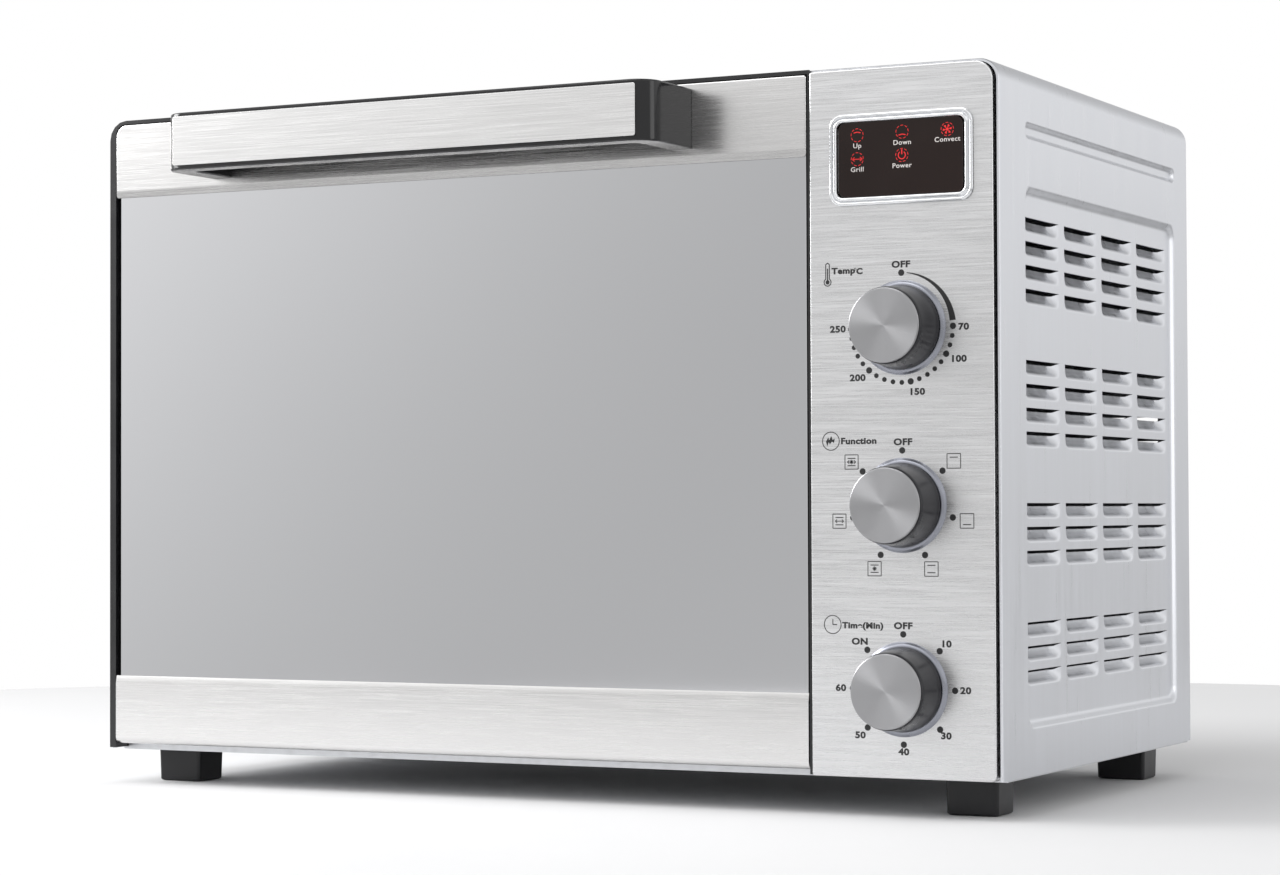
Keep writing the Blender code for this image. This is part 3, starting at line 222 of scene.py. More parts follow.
def mirror_glass(name):
    """Silvered glass with faint waviness."""
    look = Look(name, (0.70, 0.704, 0.722), 0.05, 1.0)
    look.vary_roughness(look.noise(6, 2.0), 0.012)
    look.vary_colour(look.noise(3, 1.0), 0.985, 1.01)
    look.add_bump(look.noise(5, 1.0), 0.02, 0.0008)
    return look.material


STEEL = (0.735, 0.735, 0.742)
M = {
    "wrapper": brushed("wrapper_steel", (0.70, 0.712, 0.745), 0.34, (420, 420, 16), (0.965, 1.03), 0.14),
    "panel": brushed("panel_steel", STEEL, 0.29, (55, 600, 4200), (0.93, 1.05), 0.12),
    "trim": brushed("trim_steel", (0.765, 0.758, 0.755), 0.24, (40, 900, 5200), (0.965, 1.025), 0.07),
    "plate": brushed("plate_steel", (0.775, 0.77, 0.767), 0.24, (36, 900, 4600), (0.965, 1.025), 0.07),
    # ring: the panel's raised ring round each knob, set a dark bluish grey well below the panel steel, as
    # painted shade round the knob
    "ring": smooth_metal("ring_painted_shade", (0.30, 0.31, 0.35), 0.30),
    # frame: near black; the thin rim of the front frame seen round the door is painted shade of the gap round
    # the door
    "frame": moulded("frame_black", (0.012, 0.012, 0.013), 0.24),
    "door_frame": moulded("door_frame_black", (0.018, 0.018, 0.02), 0.42),
    "cavity": moulded("cavity_enamel", (0.17, 0.17, 0.18), 0.34, 900.0, 0.10, Metallic=0.6),
    "mirror": mirror_glass("door_mirror"),
    "gloss": moulded("handle_black", (0.009, 0.009, 0.010), 0.13, 1500.0, 0.03),
    "knob": moulded("knob_black", (0.012, 0.012, 0.015), 0.30, 3000.0, 0.10, Specular_IOR_Level=0.38),
    "cap": spun("knob_cap_metal", (0.37, 0.37, 0.38), 0.36),
    "chrome": smooth_metal("bezel_chrome", (0.80, 0.81, 0.83), 0.12),
    "window": moulded("window_dark", (0.0115, 0.0048, 0.0036), 0.12, 200.0, 0.01, Specular_IOR_Level=0.36),
    "board": moulded("board_green", (0.02, 0.15, 0.06), 0.45),
    "foot": moulded("foot_black", (0.005, 0.005, 0.0065), 0.36, 2200.0, 0.16, Specular_IOR_Level=0.4),
    "zinc": galvanised("zinc_steel", (0.62, 0.63, 0.65), 0.36),
    "bolt": smooth_metal("bolt_steel", (0.66, 0.66, 0.66), 0.26),
    "element": smooth_metal("element_steel", (0.26, 0.25, 0.24), 0.42, 0.2),
    "unit": moulded("unit_black", (0.05, 0.05, 0.055), 0.55),
    "copper": smooth_metal("bulb_copper", (0.72, 0.40, 0.24), 0.30),
    "rack": smooth_metal("rack_chrome", (0.78, 0.78, 0.79), 0.14),
    "tray": moulded("tray_enamel", (0.014, 0.014, 0.017), 0.28, 500.0, 0.12),
    "crumb": brushed("crumb_aluminium", (0.70, 0.70, 0.71), 0.36, (20, 600, 600)),
    "ink": moulded("print_black", (0.006, 0.006, 0.007), 0.45),
    "red": moulded("print_red", (0.62, 0.012, 0.014), 0.35, Emission_Color=(0.8, 0.01, 0.012, 1),
                   Emission_Strength=0.25),
    "white": moulded("print_white", (0.70, 0.66, 0.64), 0.45),
}


# ---- shape helpers -------------------------------------------------------------------------------
def point(axis, first, second, run):
    place = [0.0, 0.0, 0.0]
    for index, value in zip(AXES[axis], (first, second, run)):
        place[index] = value
    return place


def bridge(bm, a, b):
    count = max(len(a), len(b))
    for i in range(count):
        j = (i + 1) % count
        quad = [a[i % len(a)], a[j % len(a)], b[j % len(b)], b[i % len(b)]]
        bm.faces.new(list(dict.fromkeys(quad)))


def add_loops(bm, axis, loops, closed=False):
    """Joins outlines of equal length, each with its own place along the run axis."""
    rings = [[bm.verts.new(point(axis, u, v, run)) for u, v in line] for line, run in loops]
    for a, b in zip(rings, rings[1:]):
        bridge(bm, a, b)
    if closed:
        bridge(bm, rings[-1], rings[0])
    else:
        bm.faces.new(rings[0])
        bm.faces.new(rings[-1])


def signed_area(outline):
    return sum(a[0] * b[1] - b[0] * a[1] for a, b in zip(outline, outline[1:] + outline[:1])) / 2


def inset(outline, amount):
    """The outline moved inwards by an amount, corner by corner."""
    sign = 1 if signed_area(outline) > 0 else -1
    made = []
    count = len(outline)
    for i in range(count):
        (ax, ay), (bx, by), (cx, cy) = outline[i - 1], outline[i], outline[(i + 1) % count]
        one, two = hypot(bx - ax, by - ay), hypot(cx - bx, cy - by)
        n1 = (-(by - ay) / one * sign, (bx - ax) / one * sign)
        n2 = (-(cy - by) / two * sign, (cx - bx) / two * sign)
        both = 1 + n1[0] * n2[0] + n1[1] * n2[1]
        made.append((bx + (n1[0] + n2[0]) / both * amount, by + (n1[1] + n2[1]) / both * amount))
    return made


def add_soft(bm, outline, axis, low, high, soft=0.0005, steps=3):
    """A prism whose edges are rounded at both ends."""
    loops = []
    for i in range(steps + 1):
        turn = radians(90 * i / steps)
        loops.append((inset(outline, soft * (1 - sin(turn))), low + soft * (1 - cos(turn))))
    for i in range(steps, -1, -1):
        turn = radians(90 * i / steps)
        loops.append((inset(outline, soft * (1 - sin(turn))), high - soft * (1 - cos(turn))))
    add_loops(bm, axis, loops)


def add_turned(bm, profile, axis, centre, steps):
    """Turns a profile of radius and run about an axis."""
    loops = []
    for radius, run in profile:
        if radius == 0:
            loops.append([bm.verts.new(point(axis, centre[0], centre[1], run))])
            continue
        loops.append([bm.verts.new(point(axis, centre[0] + radius * cos(2 * pi * i / steps),
                                         centre[1] + radius * sin(2 * pi * i / steps), run))
                      for i in range(steps)])
    for a, b in zip(loops, loops[1:]):
        bridge(bm, a, b)


def rounded(u0, u1, v0, v1, radii, steps=8):
    """A rectangle with a radius at each corner, anticlockwise from the lower left."""
    corners = ((u0, v0, 1, 1, 180), (u1, v0, -1, 1, 270), (u1, v1, -1, -1, 0), (u0, v1, 1, -1, 90))
    outline = []
    for (u, v, right, up, start), radius in zip(corners, radii):
        for i in range(steps + 1):
            turn = radians(start + 90 * i / steps)
            outline.append((u + right * radius + radius * cos(turn),
                            v + up * radius + radius * sin(turn)))
    return outline


def bend(centre, radius, start, turn, steps=8):
    """Points along an arc, by its start and turn in degrees."""
    return [(centre[0] + radius * cos(radians(start + turn * i / steps)),
             centre[1] + radius * sin(radians(start + turn * i / steps))) for i in range(steps + 1)]


def add_tube(bm, path, radius, sides=12, closed=False):
    """A round wire along points, its section kept square to the path."""
    points = [Vector(p) for p in path]
    count = len(points)
    rings = []
    side = None
    for i, p in enumerate(points):
        if closed:
            along = points[(i + 1) % count] - points[i - 1]
        else:
            along = points[min(i + 1, count - 1)] - points[max(i - 1, 0)]
        along.normalize()
        if side is None:
            side = along.orthogonal().normalized()
        side = (side - along * side.dot(along)).normalized()
        up = along.cross(side)
        rings.append([bm.verts.new(p + radius * (cos(2 * pi * k / sides) * side
                                                 + sin(2 * pi * k / sides) * up))
                      for k in range(sides)])
    for a, b in zip(rings, rings[1:]):
        bridge(bm, a, b)
    if closed:
        shift = min(range(sides), key=lambda k: (rings[-1][0].co - rings[0][k].co).length)
        first = rings[0][shift:] + rings[0][:shift]
        bridge(bm, rings[-1], first)
    else:
        bm.faces.new(rings[0])
        bm.faces.new(rings[-1])


def soften(target, angle=32):
    """Smooth shading that keeps sharp edges, with large faces left flat."""
    target.data.shade_smooth()
    target.data.set_sharp_from_angle(angle=radians(angle))
    step = target.modifiers.new("weighted", "WEIGHTED_NORMAL")
    step.keep_sharp = True


def piece(bm, name, look, body, nodes=(), origin=(0.0, 0.0, 0.0), angle=32):
    """Turns a bmesh in world places into a piece that rides on a body and stands for CAD nodes."""
    bmesh.ops.recalc_face_normals(bm, faces=bm.faces)
    for vert in bm.verts:
        vert.co = vert.co - Vector(origin)
    mesh = bpy.data.meshes.new(name)
    bm.to_mesh(mesh)
    bm.free()
    made = bpy.data.objects.new(name, mesh)
    made.location = origin
    bpy.context.scene.collection.objects.link(made)
    mesh.materials.append(M[look])
    soften(made, angle)
    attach(made, body)
    if nodes:
        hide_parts(*nodes)
    return made


# ---- wrapper -------------------------------------------------------------------------------------
FIELD = (0.0385, 0.2880, 0.0230, 0.2981)
FIELD_DEPTH, FIELD_SLOPE, FIELD_CORNER = 0.0025, 0.0042, 0.010
GROOVE = (0.0395, 0.2890, 0.3215, 0.3306)
GROOVE_DEPTH, GROOVE_SLOPE = 0.0019, 0.0028
LOUVRE_COLUMNS, LOUVRE_FIRST, LOUVRE_PITCH, LOUVRE_LENGTH = 4, 0.044, 0.0603, 0.052
LOUVRE_GROUPS = ((0.2826, 4), (0.2101, 4), (0.1375, 3), (0.0771, 3))
WRAPPER_FRONT, EDGE_REACH, EDGE_DROP = 0.0026, 0.0014, 0.00045
LOUVRE_ROW, LOUVRE_HEIGHT, LOUVRE_DEPTH, LOUVRE_SLIT = 0.0121, 0.0078, 0.0042, 0.0016


def smooth(t):
    t = min(max(t, 0.0), 1.0)
    return t * t * (3 - 2 * t)


def inside(y, z, box, radius):
    """How far a point lies inside a rectangle with round corners."""
    y0, y1, z0, z1 = box
    dy = abs(y - (y0 + y1) / 2) - (y1 - y0) / 2 + radius
    dz = abs(z - (z0 + z1) / 2) - (z1 - z0) / 2 + radius
    return -(hypot(max(dy, 0), max(dz, 0)) + min(max(dy, dz), 0) - radius)


def pressed(y, z):
    field = inside(y, z, FIELD, FIELD_CORNER)
    groove = inside(y, z, GROOVE, 0.0045)
    return FIELD_DEPTH * smooth(field / FIELD_SLOPE) + GROOVE_DEPTH * smooth(groove / GROOVE_SLOPE)


def scooped(y, z, y0, y1, low):
    """Extra depth of a louvre at a point: it deepens upwards and has round lower corners."""
    up = z - low
    edge = inside(y, min(up, 0.006), (y0, y1, 0.0, 0.02), 0.0045)
    rise = min(max(up / (LOUVRE_HEIGHT - LOUVRE_SLIT), 0.0), 1.0)
    end = min((y - y0) / 0.006, (y1 - y) / 0.010, 1.0)
    return LOUVRE_DEPTH * (1 - (1 - rise) ** 1.5) * smooth(edge / 0.0022) * end


def lines(values, gap=0.0):
    """Sorted places, leaving out ones that nearly coincide, with wide gaps filled."""
    made = []
    for value in sorted(values):
        if made and value - made[-1] < 0.00018:
            continue
        if made and gap:
            parts = ceil((value - made[-1]) / gap)
            step = (value - made[-1]) / parts
            made += [made[-1] + step * i for i in range(1, parts)]
        made.append(value)
    return made


def around(low, high, depth=0.0105, count=8):
    """Places close to both ends of a stretch, where the sheet bends."""
    spread = [depth * i / count for i in range(count + 1)]
    return [low + s for s in spread] + [high - s for s in spread]


def build_wrapper():
    lows = sorted(top - LOUVRE_ROW * i - LOUVRE_HEIGHT for top, rows in LOUVRE_GROUPS
                  for i in range(rows))
    tops = {}
    heights = [0.0, BODY_HEIGHT - CORNER] + around(FIELD[2], FIELD[3])
    heights += [GROOVE[2] + 0.00065 * i for i in range(15)]
    for low in lows:
        heights += [low + (LOUVRE_HEIGHT - LOUVRE_SLIT) * i / 7 for i in range(8)] + [low + LOUVRE_HEIGHT]
        heights += [low - 0.0005, low + LOUVRE_HEIGHT + 0.0005]
    heights = lines(heights, 0.03)
    for low in lows:
        best = min(range(len(heights)), key=lambda i: abs(heights[i] - low - LOUVRE_HEIGHT))
        tops[best] = low
    eased = (0.0, 0.0003, 0.0007, EDGE_REACH)
    backs = [WRAPPER_FRONT + step for step in eased] + [BODY_DEPTH - step for step in reversed(eased)]
    backs += around(FIELD[0], FIELD[1]) + around(GROOVE[0], GROOVE[1], 0.0048, 6)
    columns = []
    for i in range(LOUVRE_COLUMNS):
        y0 = LOUVRE_FIRST + LOUVRE_PITCH * i
        columns.append((y0, y0 + LOUVRE_LENGTH))
        backs += [y0 + 0.0011 * k for k in range(7)] + [y0 + LOUVRE_LENGTH - 0.0011 * k for k in range(10)]
        backs += [y0 - 0.0005, y0 + LOUVRE_LENGTH + 0.0005]
    backs = lines(backs, 0.022)

    def rolled(y):
        """The cut edges at the front and the back are eased."""
        edge = min(y - WRAPPER_FRONT, BODY_DEPTH - y)
        return EDGE_DROP * (1 - min(edge / EDGE_REACH, 1.0)) ** 2

    arc = [90 * i / 10 for i in range(11)]
    profile = [(0.0, z, -1.0, 0.0) for z in heights[:-1]]
    profile += [(CORNER - CORNER * cos(radians(a)), BODY_HEIGHT - CORNER + CORNER * sin(radians(a)),
                 -cos(radians(a)), sin(radians(a))) for a in arc]
    profile += [(WIDTH - x, z, -nx, nz) for x, z, nx, nz in reversed(profile)]
    verts, shifts, faces = [], [], []

    def vert(i, y, sunk):
        x, z, nx, nz = profile[i]
        sunk += rolled(y)
        verts.append((lx(x - nx * sunk), fy(y), bz(z - nz * sunk)))
        shifts.append((-nx * SHEET, 0.0, -nz * SHEET))
        return len(verts) - 1

    rows = len(profile)
    side = len(heights) - 1

    def level(i):
        """The height line that a profile point lies on, or none on the top."""
        if i < side:
            return i
        return rows - 1 - i if i > rows - 1 - side else None

    grid = [[vert(i, y, pressed(y, profile[i][1]) if profile[i][3] == 0 else 0.0) for y in backs]
            for i in range(rows)]
    for i in range(rows):
        at = level(i)
        if at is None or at in tops:
            continue
        z = heights[at]
        for low in lows:
            if not low - 0.0001 <= z < low + LOUVRE_HEIGHT:
                continue
            for y0, y1 in columns:
                for j, y in enumerate(backs):
                    if not y0 - 0.0001 < y < y1 + 0.0001:
                        continue
                    x, _, nx, _ = profile[i]
                    sunk = pressed(y, z) + scooped(y, z, y0, y1, low)
                    rise = z
                    if at + 1 in tops:
                        slit = LOUVRE_SLIT * min((y - y0) / 0.003, (y1 - y) / 0.006, 1.0)
                        rise = heights[at + 1] - max(slit, 0.00004)
                    verts[grid[i][j]] = (lx(x - nx * sunk), fy(y), bz(rise))
    for i in range(rows - 1):
        pair = sorted(filter(lambda at: at is not None, (level(i), level(i + 1))))
        slit = len(pair) == 2 and pair[1] in tops
        for j in range(len(backs) - 1):
            middle = (backs[j] + backs[j + 1]) / 2
            if slit and any(y0 < middle < y1 for y0, y1 in columns):
                continue
            faces.append([grid[i][j], grid[i + 1][j], grid[i + 1][j + 1], grid[i][j + 1]])
    bm = bmesh.new()
    top = [bm.verts.new(v) for v in verts]
    under = [bm.verts.new([a + b for a, b in zip(v, s)]) for v, s in zip(verts, shifts)]
    used = set()
    for face in faces:
        bm.faces.new([top[k] for k in face])
        bm.faces.new([under[k] for k in reversed(face)])
        used |= set(zip(face, face[1:] + face[:1]))
    for a, b in sorted(used):
        if (b, a) not in used:
            bm.faces.new((top[b], top[a], under[a], under[b]))
    for stray in [v for v in bm.verts if not v.link_faces]:
        bm.verts.remove(stray)
    piece(bm, "wrapper_sheet", "wrapper", "cabinet", ["outer_wrapper"], angle=50)


# ---- control panel -------------------------------------------------------------------------------
def add_pan(bm, outline, axis, face, lip, soft=0.0007, steps=4):
    """A tray whose turned edge is rounded, one sheet thick."""
    loops = []
    for i in range(steps + 1):
        turn = radians(90 * i / steps)
        loops.append((inset(outline, soft * (1 - sin(turn))), face + soft * (1 - cos(turn))))
    loops += [(outline, lip), (inset(outline, SHEET), lip), (inset(outline, SHEET), face + SHEET)]
    add_loops(bm, axis, loops)


def cut_with(target, bm, name):
    """Cuts a helper solid away from a piece, and removes the helper."""
    bmesh.ops.recalc_face_normals(bm, faces=bm.faces)
    mesh = bpy.data.meshes.new(name)
    bm.to_mesh(mesh)
    bm.free()
    helper = bpy.data.objects.new(name, mesh)
    bpy.context.scene.collection.objects.link(helper)
    target.modifiers.clear()
    step = target.modifiers.new(name, "BOOLEAN")
    step.operation, step.solver, step.object = "DIFFERENCE", "EXACT", helper
    bpy.context.view_layer.update()
    solid = target.evaluated_get(bpy.context.evaluated_depsgraph_get())
    made = bpy.data.meshes.new_from_object(solid)
    target.modifiers.clear()
    target.data = made
    soften(target)
    bpy.data.objects.remove(helper)


def build_panel():
    bm = bmesh.new()
    add_pan(bm, rounded(lx(0.4383), lx(0.5372), bz(0), bz(0.3570), (0.0015, 0.003, 0.0095, 0.0015), 10),
            "y", fy(0), fy(0.010))
    panel = piece(bm, "panel_face", "panel", "cabinet", ["control_panel"])
    bm = bmesh.new()
    half_wide, half_high = 0.0341, 0.0195
    add_soft(bm, rounded(lx(DISPLAY_X - half_wide), lx(DISPLAY_X + half_wide), bz(DISPLAY_UP - half_high),
                         bz(DISPLAY_UP + half_high), (0.001,) * 4, 2), "y", fy(-0.002), fy(0.003), 0.0001, 1)
    for height in DIAL_HEIGHTS.values():
        add_turned(bm, [(0, fy(-0.005)), (0.0046, fy(-0.005)), (0.0046, fy(0.003)), (0, fy(0.003))],
                   "y", (lx(DIAL_X), bz(height)), 32)
    cut_with(panel, bm, "panel_holes")
    # Raised ring round each dial hole; its dark bluish material is painted shade round the knob
    for name, height in DIAL_HEIGHTS.items():
        bm = bmesh.new()
        ring = [(0.0050, fy(-0.0001)), (0.0238, fy(-0.0001)), (0.0235, fy(-0.0003)), (0.0231, fy(-0.0007)),
                (0.0227, fy(-0.0012)), (0.0221, fy(-0.00155)), (0.0213, fy(-0.0017)), (0.0050, fy(-0.0017))]
        loops = [(bend((lx(DIAL_X), bz(height)), r, 0, 360 - 3.75, 95), run) for r, run in ring]
        add_loops(bm, "y", loops, closed=True)
        piece(bm, name + "_ring", "ring", "cabinet")


def outline_at(wide, high, radius):
    """A round-cornered rectangle about the middle of the display."""
    return rounded(lx(DISPLAY_X - wide / 2), lx(DISPLAY_X + wide / 2), bz(DISPLAY_UP - high / 2),
                   bz(DISPLAY_UP + high / 2), (radius,) * 4, 10)


def build_display():
    """Chrome bezel of two rolled rings round a smoked window."""
    bm = bmesh.new()
    wide, high, radius = 0.0774, 0.0463, 0.0068
    section = [(0, -0.0003), (0.0000, -0.0009), (0.0003, -0.0014), (0.0009, -0.0017), (0.0015, -0.0014),
               (0.0018, -0.0010), (0.0021, -0.0011), (0.0025, -0.0018), (0.0031, -0.0022),
               (0.0037, -0.0020), (0.0042, -0.0013), (0.0044, -0.0003)]
    loops = [(outline_at(wide - 2 * i, high - 2 * i, max(radius - i * 0.75, 0.002)), fy(y))
             for i, y in section]
    add_loops(bm, "y", loops, closed=True)
    piece(bm, "bezel_ring", "chrome", "cabinet", ["display_bezel"], angle=60)
    bm = bmesh.new()
    add_soft(bm, outline_at(0.0672, 0.0380, 0.0038), "y", fy(-0.0010), fy(0.0016), 0.0004)
    piece(bm, "window_pane", "window", "cabinet", ["display_window"])


# ---- printed marks -------------------------------------------------------------------------------
class Ink:
    """Flat marks on a plane that faces -Y. Places are in metres right of and above a centre."""

    def __init__(self, x, z, y, thick=0.00005):
        self.bm = bmesh.new()
        self.x, self.z, self.low, self.high = lx(x), bz(z), fy(y), fy(y) - thick

    def shape(self, outline):
        ends = [[self.bm.verts.new((self.x + u, run, self.z + v)) for u, v in outline]
                for run in (self.low, self.high)]
        self.bm.faces.new(ends[0])
        self.bm.faces.new(ends[1])
        bridge(self.bm, ends[0], ends[1])

    def dot(self, u, v, radius, steps=20):
        self.shape(bend((u, v), radius, 0, 360 - 360 / steps, steps - 1))

    def bar(self, u0, v0, u1, v1, wide):
        length = hypot(u1 - u0, v1 - v0)
        du, dv = -(v1 - v0) / length * wide / 2, (u1 - u0) / length * wide / 2
        self.shape([(u0 + du, v0 + dv), (u1 + du, v1 + dv), (u1 - du, v1 - dv), (u0 - du, v0 - dv)])

    def path(self, points, wide):
        for (a, b), (c, d) in zip(points, points[1:]):
            self.bar(a, b, c, d, wide)

    def arc(self, u, v, radius, start, turn, wide, end_wide=None, steps=28):
        """A curved stroke, whose width may grow along it. Angles are anticlockwise from the right."""
        end_wide = wide if end_wide is None else end_wide
        outer, inner = [], []
        for i in range(steps + 1):
            share = i / steps
            angle = radians(start + turn * share)
            half = (wide + (end_wide - wide) * share) / 2
            outer.append((u + (radius + half) * cos(angle), v + (radius + half) * sin(angle)))
            inner.append((u + (radius - half) * cos(angle), v + (radius - half) * sin(angle)))
        if abs(turn) < 359:
            self.shape(outer + inner[::-1])
            return
        for i in range(steps):
            self.shape([outer[i], outer[i + 1], inner[i + 1], inner[i]])

    def box(self, u, v, size, wide):
        half = size / 2
        self.path([(u - half, v - half), (u + half, v - half), (u + half, v + half),
                   (u - half, v + half), (u - half, v - half)], wide)

    def words(self, text, u, v, size, stretch=1.2, bold=0.0002):
        """Text in the built-in font, centred on a place."""
        curve = bpy.data.curves.new("words", "FONT")
        curve.body, curve.size, curve.align_x, curve.align_y = text, size, "CENTER", "CENTER"
        curve.offset, curve.resolution_u, curve.space_character = bold, 4, 1.08
        holder = bpy.data.objects.new("words", curve)
        bpy.context.scene.collection.objects.link(holder)
        bpy.context.view_layer.update()
        mesh = bpy.data.meshes.new_from_object(holder.evaluated_get(bpy.context.evaluated_depsgraph_get()))
        made = bmesh.new()
        made.from_mesh(mesh)
        bmesh.ops.remove_doubles(made, verts=made.verts, dist=1e-7)
        ends = [{vert: self.bm.verts.new((self.x + u + vert.co.x * stretch, run, self.z + v + vert.co.y))
                 for vert in made.verts} for run in (self.low, self.high)]
        for side, copies in enumerate(ends):
            for face in made.faces:
                loop = [copies[vert] for vert in face.verts]
                self.bm.faces.new(loop if side else loop[::-1])
        for edge in made.edges:
            if len(edge.link_faces) == 1:
                a, b = edge.verts
                self.bm.faces.new((ends[0][a], ends[0][b], ends[1][b], ends[1][a]))
        made.free()
        bpy.data.objects.remove(holder)

    def done(self, name, look, body="cabinet"):
        return piece(self.bm, name, look, body)


def clock(angle, radius):
    """A place round a dial, clockwise from the top."""
    return radius * sin(radians(angle)), radius * cos(radians(angle))


MARK_RADIUS, BIG_DOT, SMALL_DOT = 0.0275, 0.00165, 0.00125
LETTER, LABEL, LINE = 0.0045, 0.0043, 0.0005


def oven_icon(ink, u, v, parts, size=0.0072):
    """A square oven with heating bars, a fan or a spit."""
    ink.box(u, v, size, 0.00042)
    reach = size * 0.30
    if "top" in parts:
        ink.bar(u - reach, v + reach * 0.85, u + reach, v + reach * 0.85, 0.0005)
    if "bottom" in parts:
        ink.bar(u - reach, v - reach * 0.85, u + reach, v - reach * 0.85, 0.0005)
    if "fan" in parts:
        for k in range(4):
            du, dv = clock(45 * k, 0.0012)
            ink.bar(u - du, v - dv, u + du, v + dv, 0.0004)
    if "spit" in parts:
        ink.bar(u - 0.0022, v, u + 0.0022, v, 0.0004)
        for side in (-1, 1):
            ink.path([(u + side * 0.0013, v + 0.0009), (u + side * 0.0023, v),
                      (u + side * 0.0013, v - 0.0009)], 0.0004)


def build_marks():
    ink = Ink(DIAL_X, DIAL_HEIGHTS["temp"], 0.0)
    ink.dot(*clock(0, MARK_RADIUS), BIG_DOT)
    for i in range(19):
        big = i in (0, 3, 8, 13, 18)
        ink.dot(*clock(90 + 10 * i, MARK_RADIUS), BIG_DOT if big else SMALL_DOT)
    ink.arc(0, 0, MARK_RADIUS, 84, -78, 0.0004, 0.0033)
    ink.words("OFF", -0.0002, 0.0316, LETTER)
    for text, angle, radius in (("70", 91, 0.0331), ("100", 118.5, 0.0345), ("150", 166, 0.0334),
                                ("200", 224, 0.0345), ("250", 270, 0.0347)):
        ink.words(text, *clock(angle, radius), LETTER)
    u, v = -0.0402, 0.0281
    ink.arc(u, v - 0.0040, 0.0019, 115, 310, 0.0005)
    ink.dot(u, v - 0.0040, 0.0011)
    ink.path([(u - 0.0010, v - 0.0022), (u - 0.0010, v + 0.0050), (u, v + 0.0058),
              (u + 0.0010, v + 0.0050), (u + 0.0010, v - 0.0022)], LINE)
    ink.bar(u, v - 0.0035, u, v + 0.0030, 0.0006)
    ink.words("Temp", -0.0315, 0.0295, LABEL)
    ink.words("C", -0.0227, 0.0290, 0.0040)
    ink.arc(-0.0250, 0.0302, 0.0005, 0, 360, 0.0003, steps=12)
    ink.done("temp_marks", "ink")

    ink = Ink(DIAL_X, DIAL_HEIGHTS["function"], 0.0)
    for i in range(7):
        ink.dot(*clock(360 / 7 * i, MARK_RADIUS), BIG_DOT)
    ink.words("OFF", 0.0004, 0.0316, LETTER)
    icons = (("top",), ("bottom",), ("top", "bottom"), ("top", "bottom", "fan"),
             ("top", "bottom", "spit"), ("top", "bottom", "fan", "spit"))
    for i, parts in enumerate(icons):
        oven_icon(ink, *clock(360 / 7 * (i + 1), 0.0352), parts)
    u, v = -0.0388, 0.0326
    ink.arc(u, v, 0.0046, 0, 360, 0.00045, steps=36)
    ink.shape([(u - 0.0020, v - 0.0026), (u - 0.0027, v - 0.0002), (u - 0.0014, v + 0.0020),
               (u - 0.0010, v + 0.0004), (u + 0.0002, v + 0.0026), (u + 0.0010, v + 0.0006),
               (u + 0.0021, v + 0.0014), (u + 0.0017, v - 0.0010), (u + 0.0006, v - 0.0002),
               (u - 0.0006, v - 0.0016), (u - 0.0012, v - 0.0004)])
    ink.words("Function", -0.0236, 0.0324, LABEL)
    ink.done("function_marks", "ink")

    ink = Ink(DIAL_X, DIAL_HEIGHTS["timer"], 0.0)
    for i, text in enumerate(("OFF", "10", "20", "30", "40", "50", "60", "ON")):
        ink.dot(*clock(45 * i, MARK_RADIUS), BIG_DOT)
        reach = (0.0316, 0.0324, 0.0331, 0.0320, 0.0312, 0.0332, 0.0340, 0.0332)[i]
        ink.words(text, *clock(45 * i, reach), LETTER)
    u, v = -0.0383, 0.0319
    ink.arc(u, v, 0.0046, 0, 360, 0.00045, steps=36)
    ink.path([(u + 0.0001, v + 0.0028), (u + 0.0001, v), (u + 0.0024, v)], 0.0005)
    ink.words("Time(Min)", -0.0218, 0.0315, 0.0041)
    ink.done("timer_marks", "ink")


def build_icons():
    """Lit symbols and their small words behind the display window."""
    red = Ink(DISPLAY_X, DISPLAY_UP, -0.00104)
    white = Ink(DISPLAY_X, DISPLAY_UP, -0.00104)
    places = {"up": (-0.0232, 0.0123), "down": (0.0012, 0.0127), "fan": (0.0254, 0.0126),
              "grill": (-0.0232, 0.0002), "power": (0.0010, 0.0010)}
    for name, (u, v) in places.items():
        if name == "power":
            red.arc(u, v, 0.0019, 125, 290, LINE)
            red.bar(u, v + 0.0004, u, v + 0.0028, 0.0006)
        for k in range(9):
            red.arc(u, v, 0.0033, 40 * k, 25, 0.0003, steps=5)
    u, v = places["up"]
    red.path([(u - 0.0019, v + 0.0012), (u, v + 0.0016), (u + 0.0019, v + 0.0012)], 0.0005)
    u, v = places["down"]
    red.path([(u - 0.0019, v - 0.0016), (u, v - 0.0012), (u + 0.0019, v - 0.0016)], 0.0005)
    u, v = places["fan"]
    for k in range(6):
        blade = (clock(60 * k, 0.0007), clock(60 * k + 10, 0.0026), clock(60 * k + 40, 0.0022))
        red.shape([(u + right, v + up) for right, up in blade])
    red.dot(u, v, 0.0008, 12)
    u, v = places["grill"]
    red.bar(u - 0.0026, v, u + 0.0026, v, 0.0004)
    for side in (-1, 1):
        red.path([(u + side * 0.0015, v + 0.0010), (u + side * 0.0027, v), (u + side * 0.0015, v - 0.0010)],
                 0.0004)
    for text, u, v in (("Up", -0.0232, 0.0069), ("Down", 0.0012, 0.0073), ("Convect", 0.0254, 0.0075),
                       ("Grill", -0.0232, -0.0051), ("Power", 0.0010, -0.0043)):
        white.words(text, u, v, 0.0034, 1.1, 0.00003)
    red.done("display_symbols", "red")
    white.done("display_words", "white")


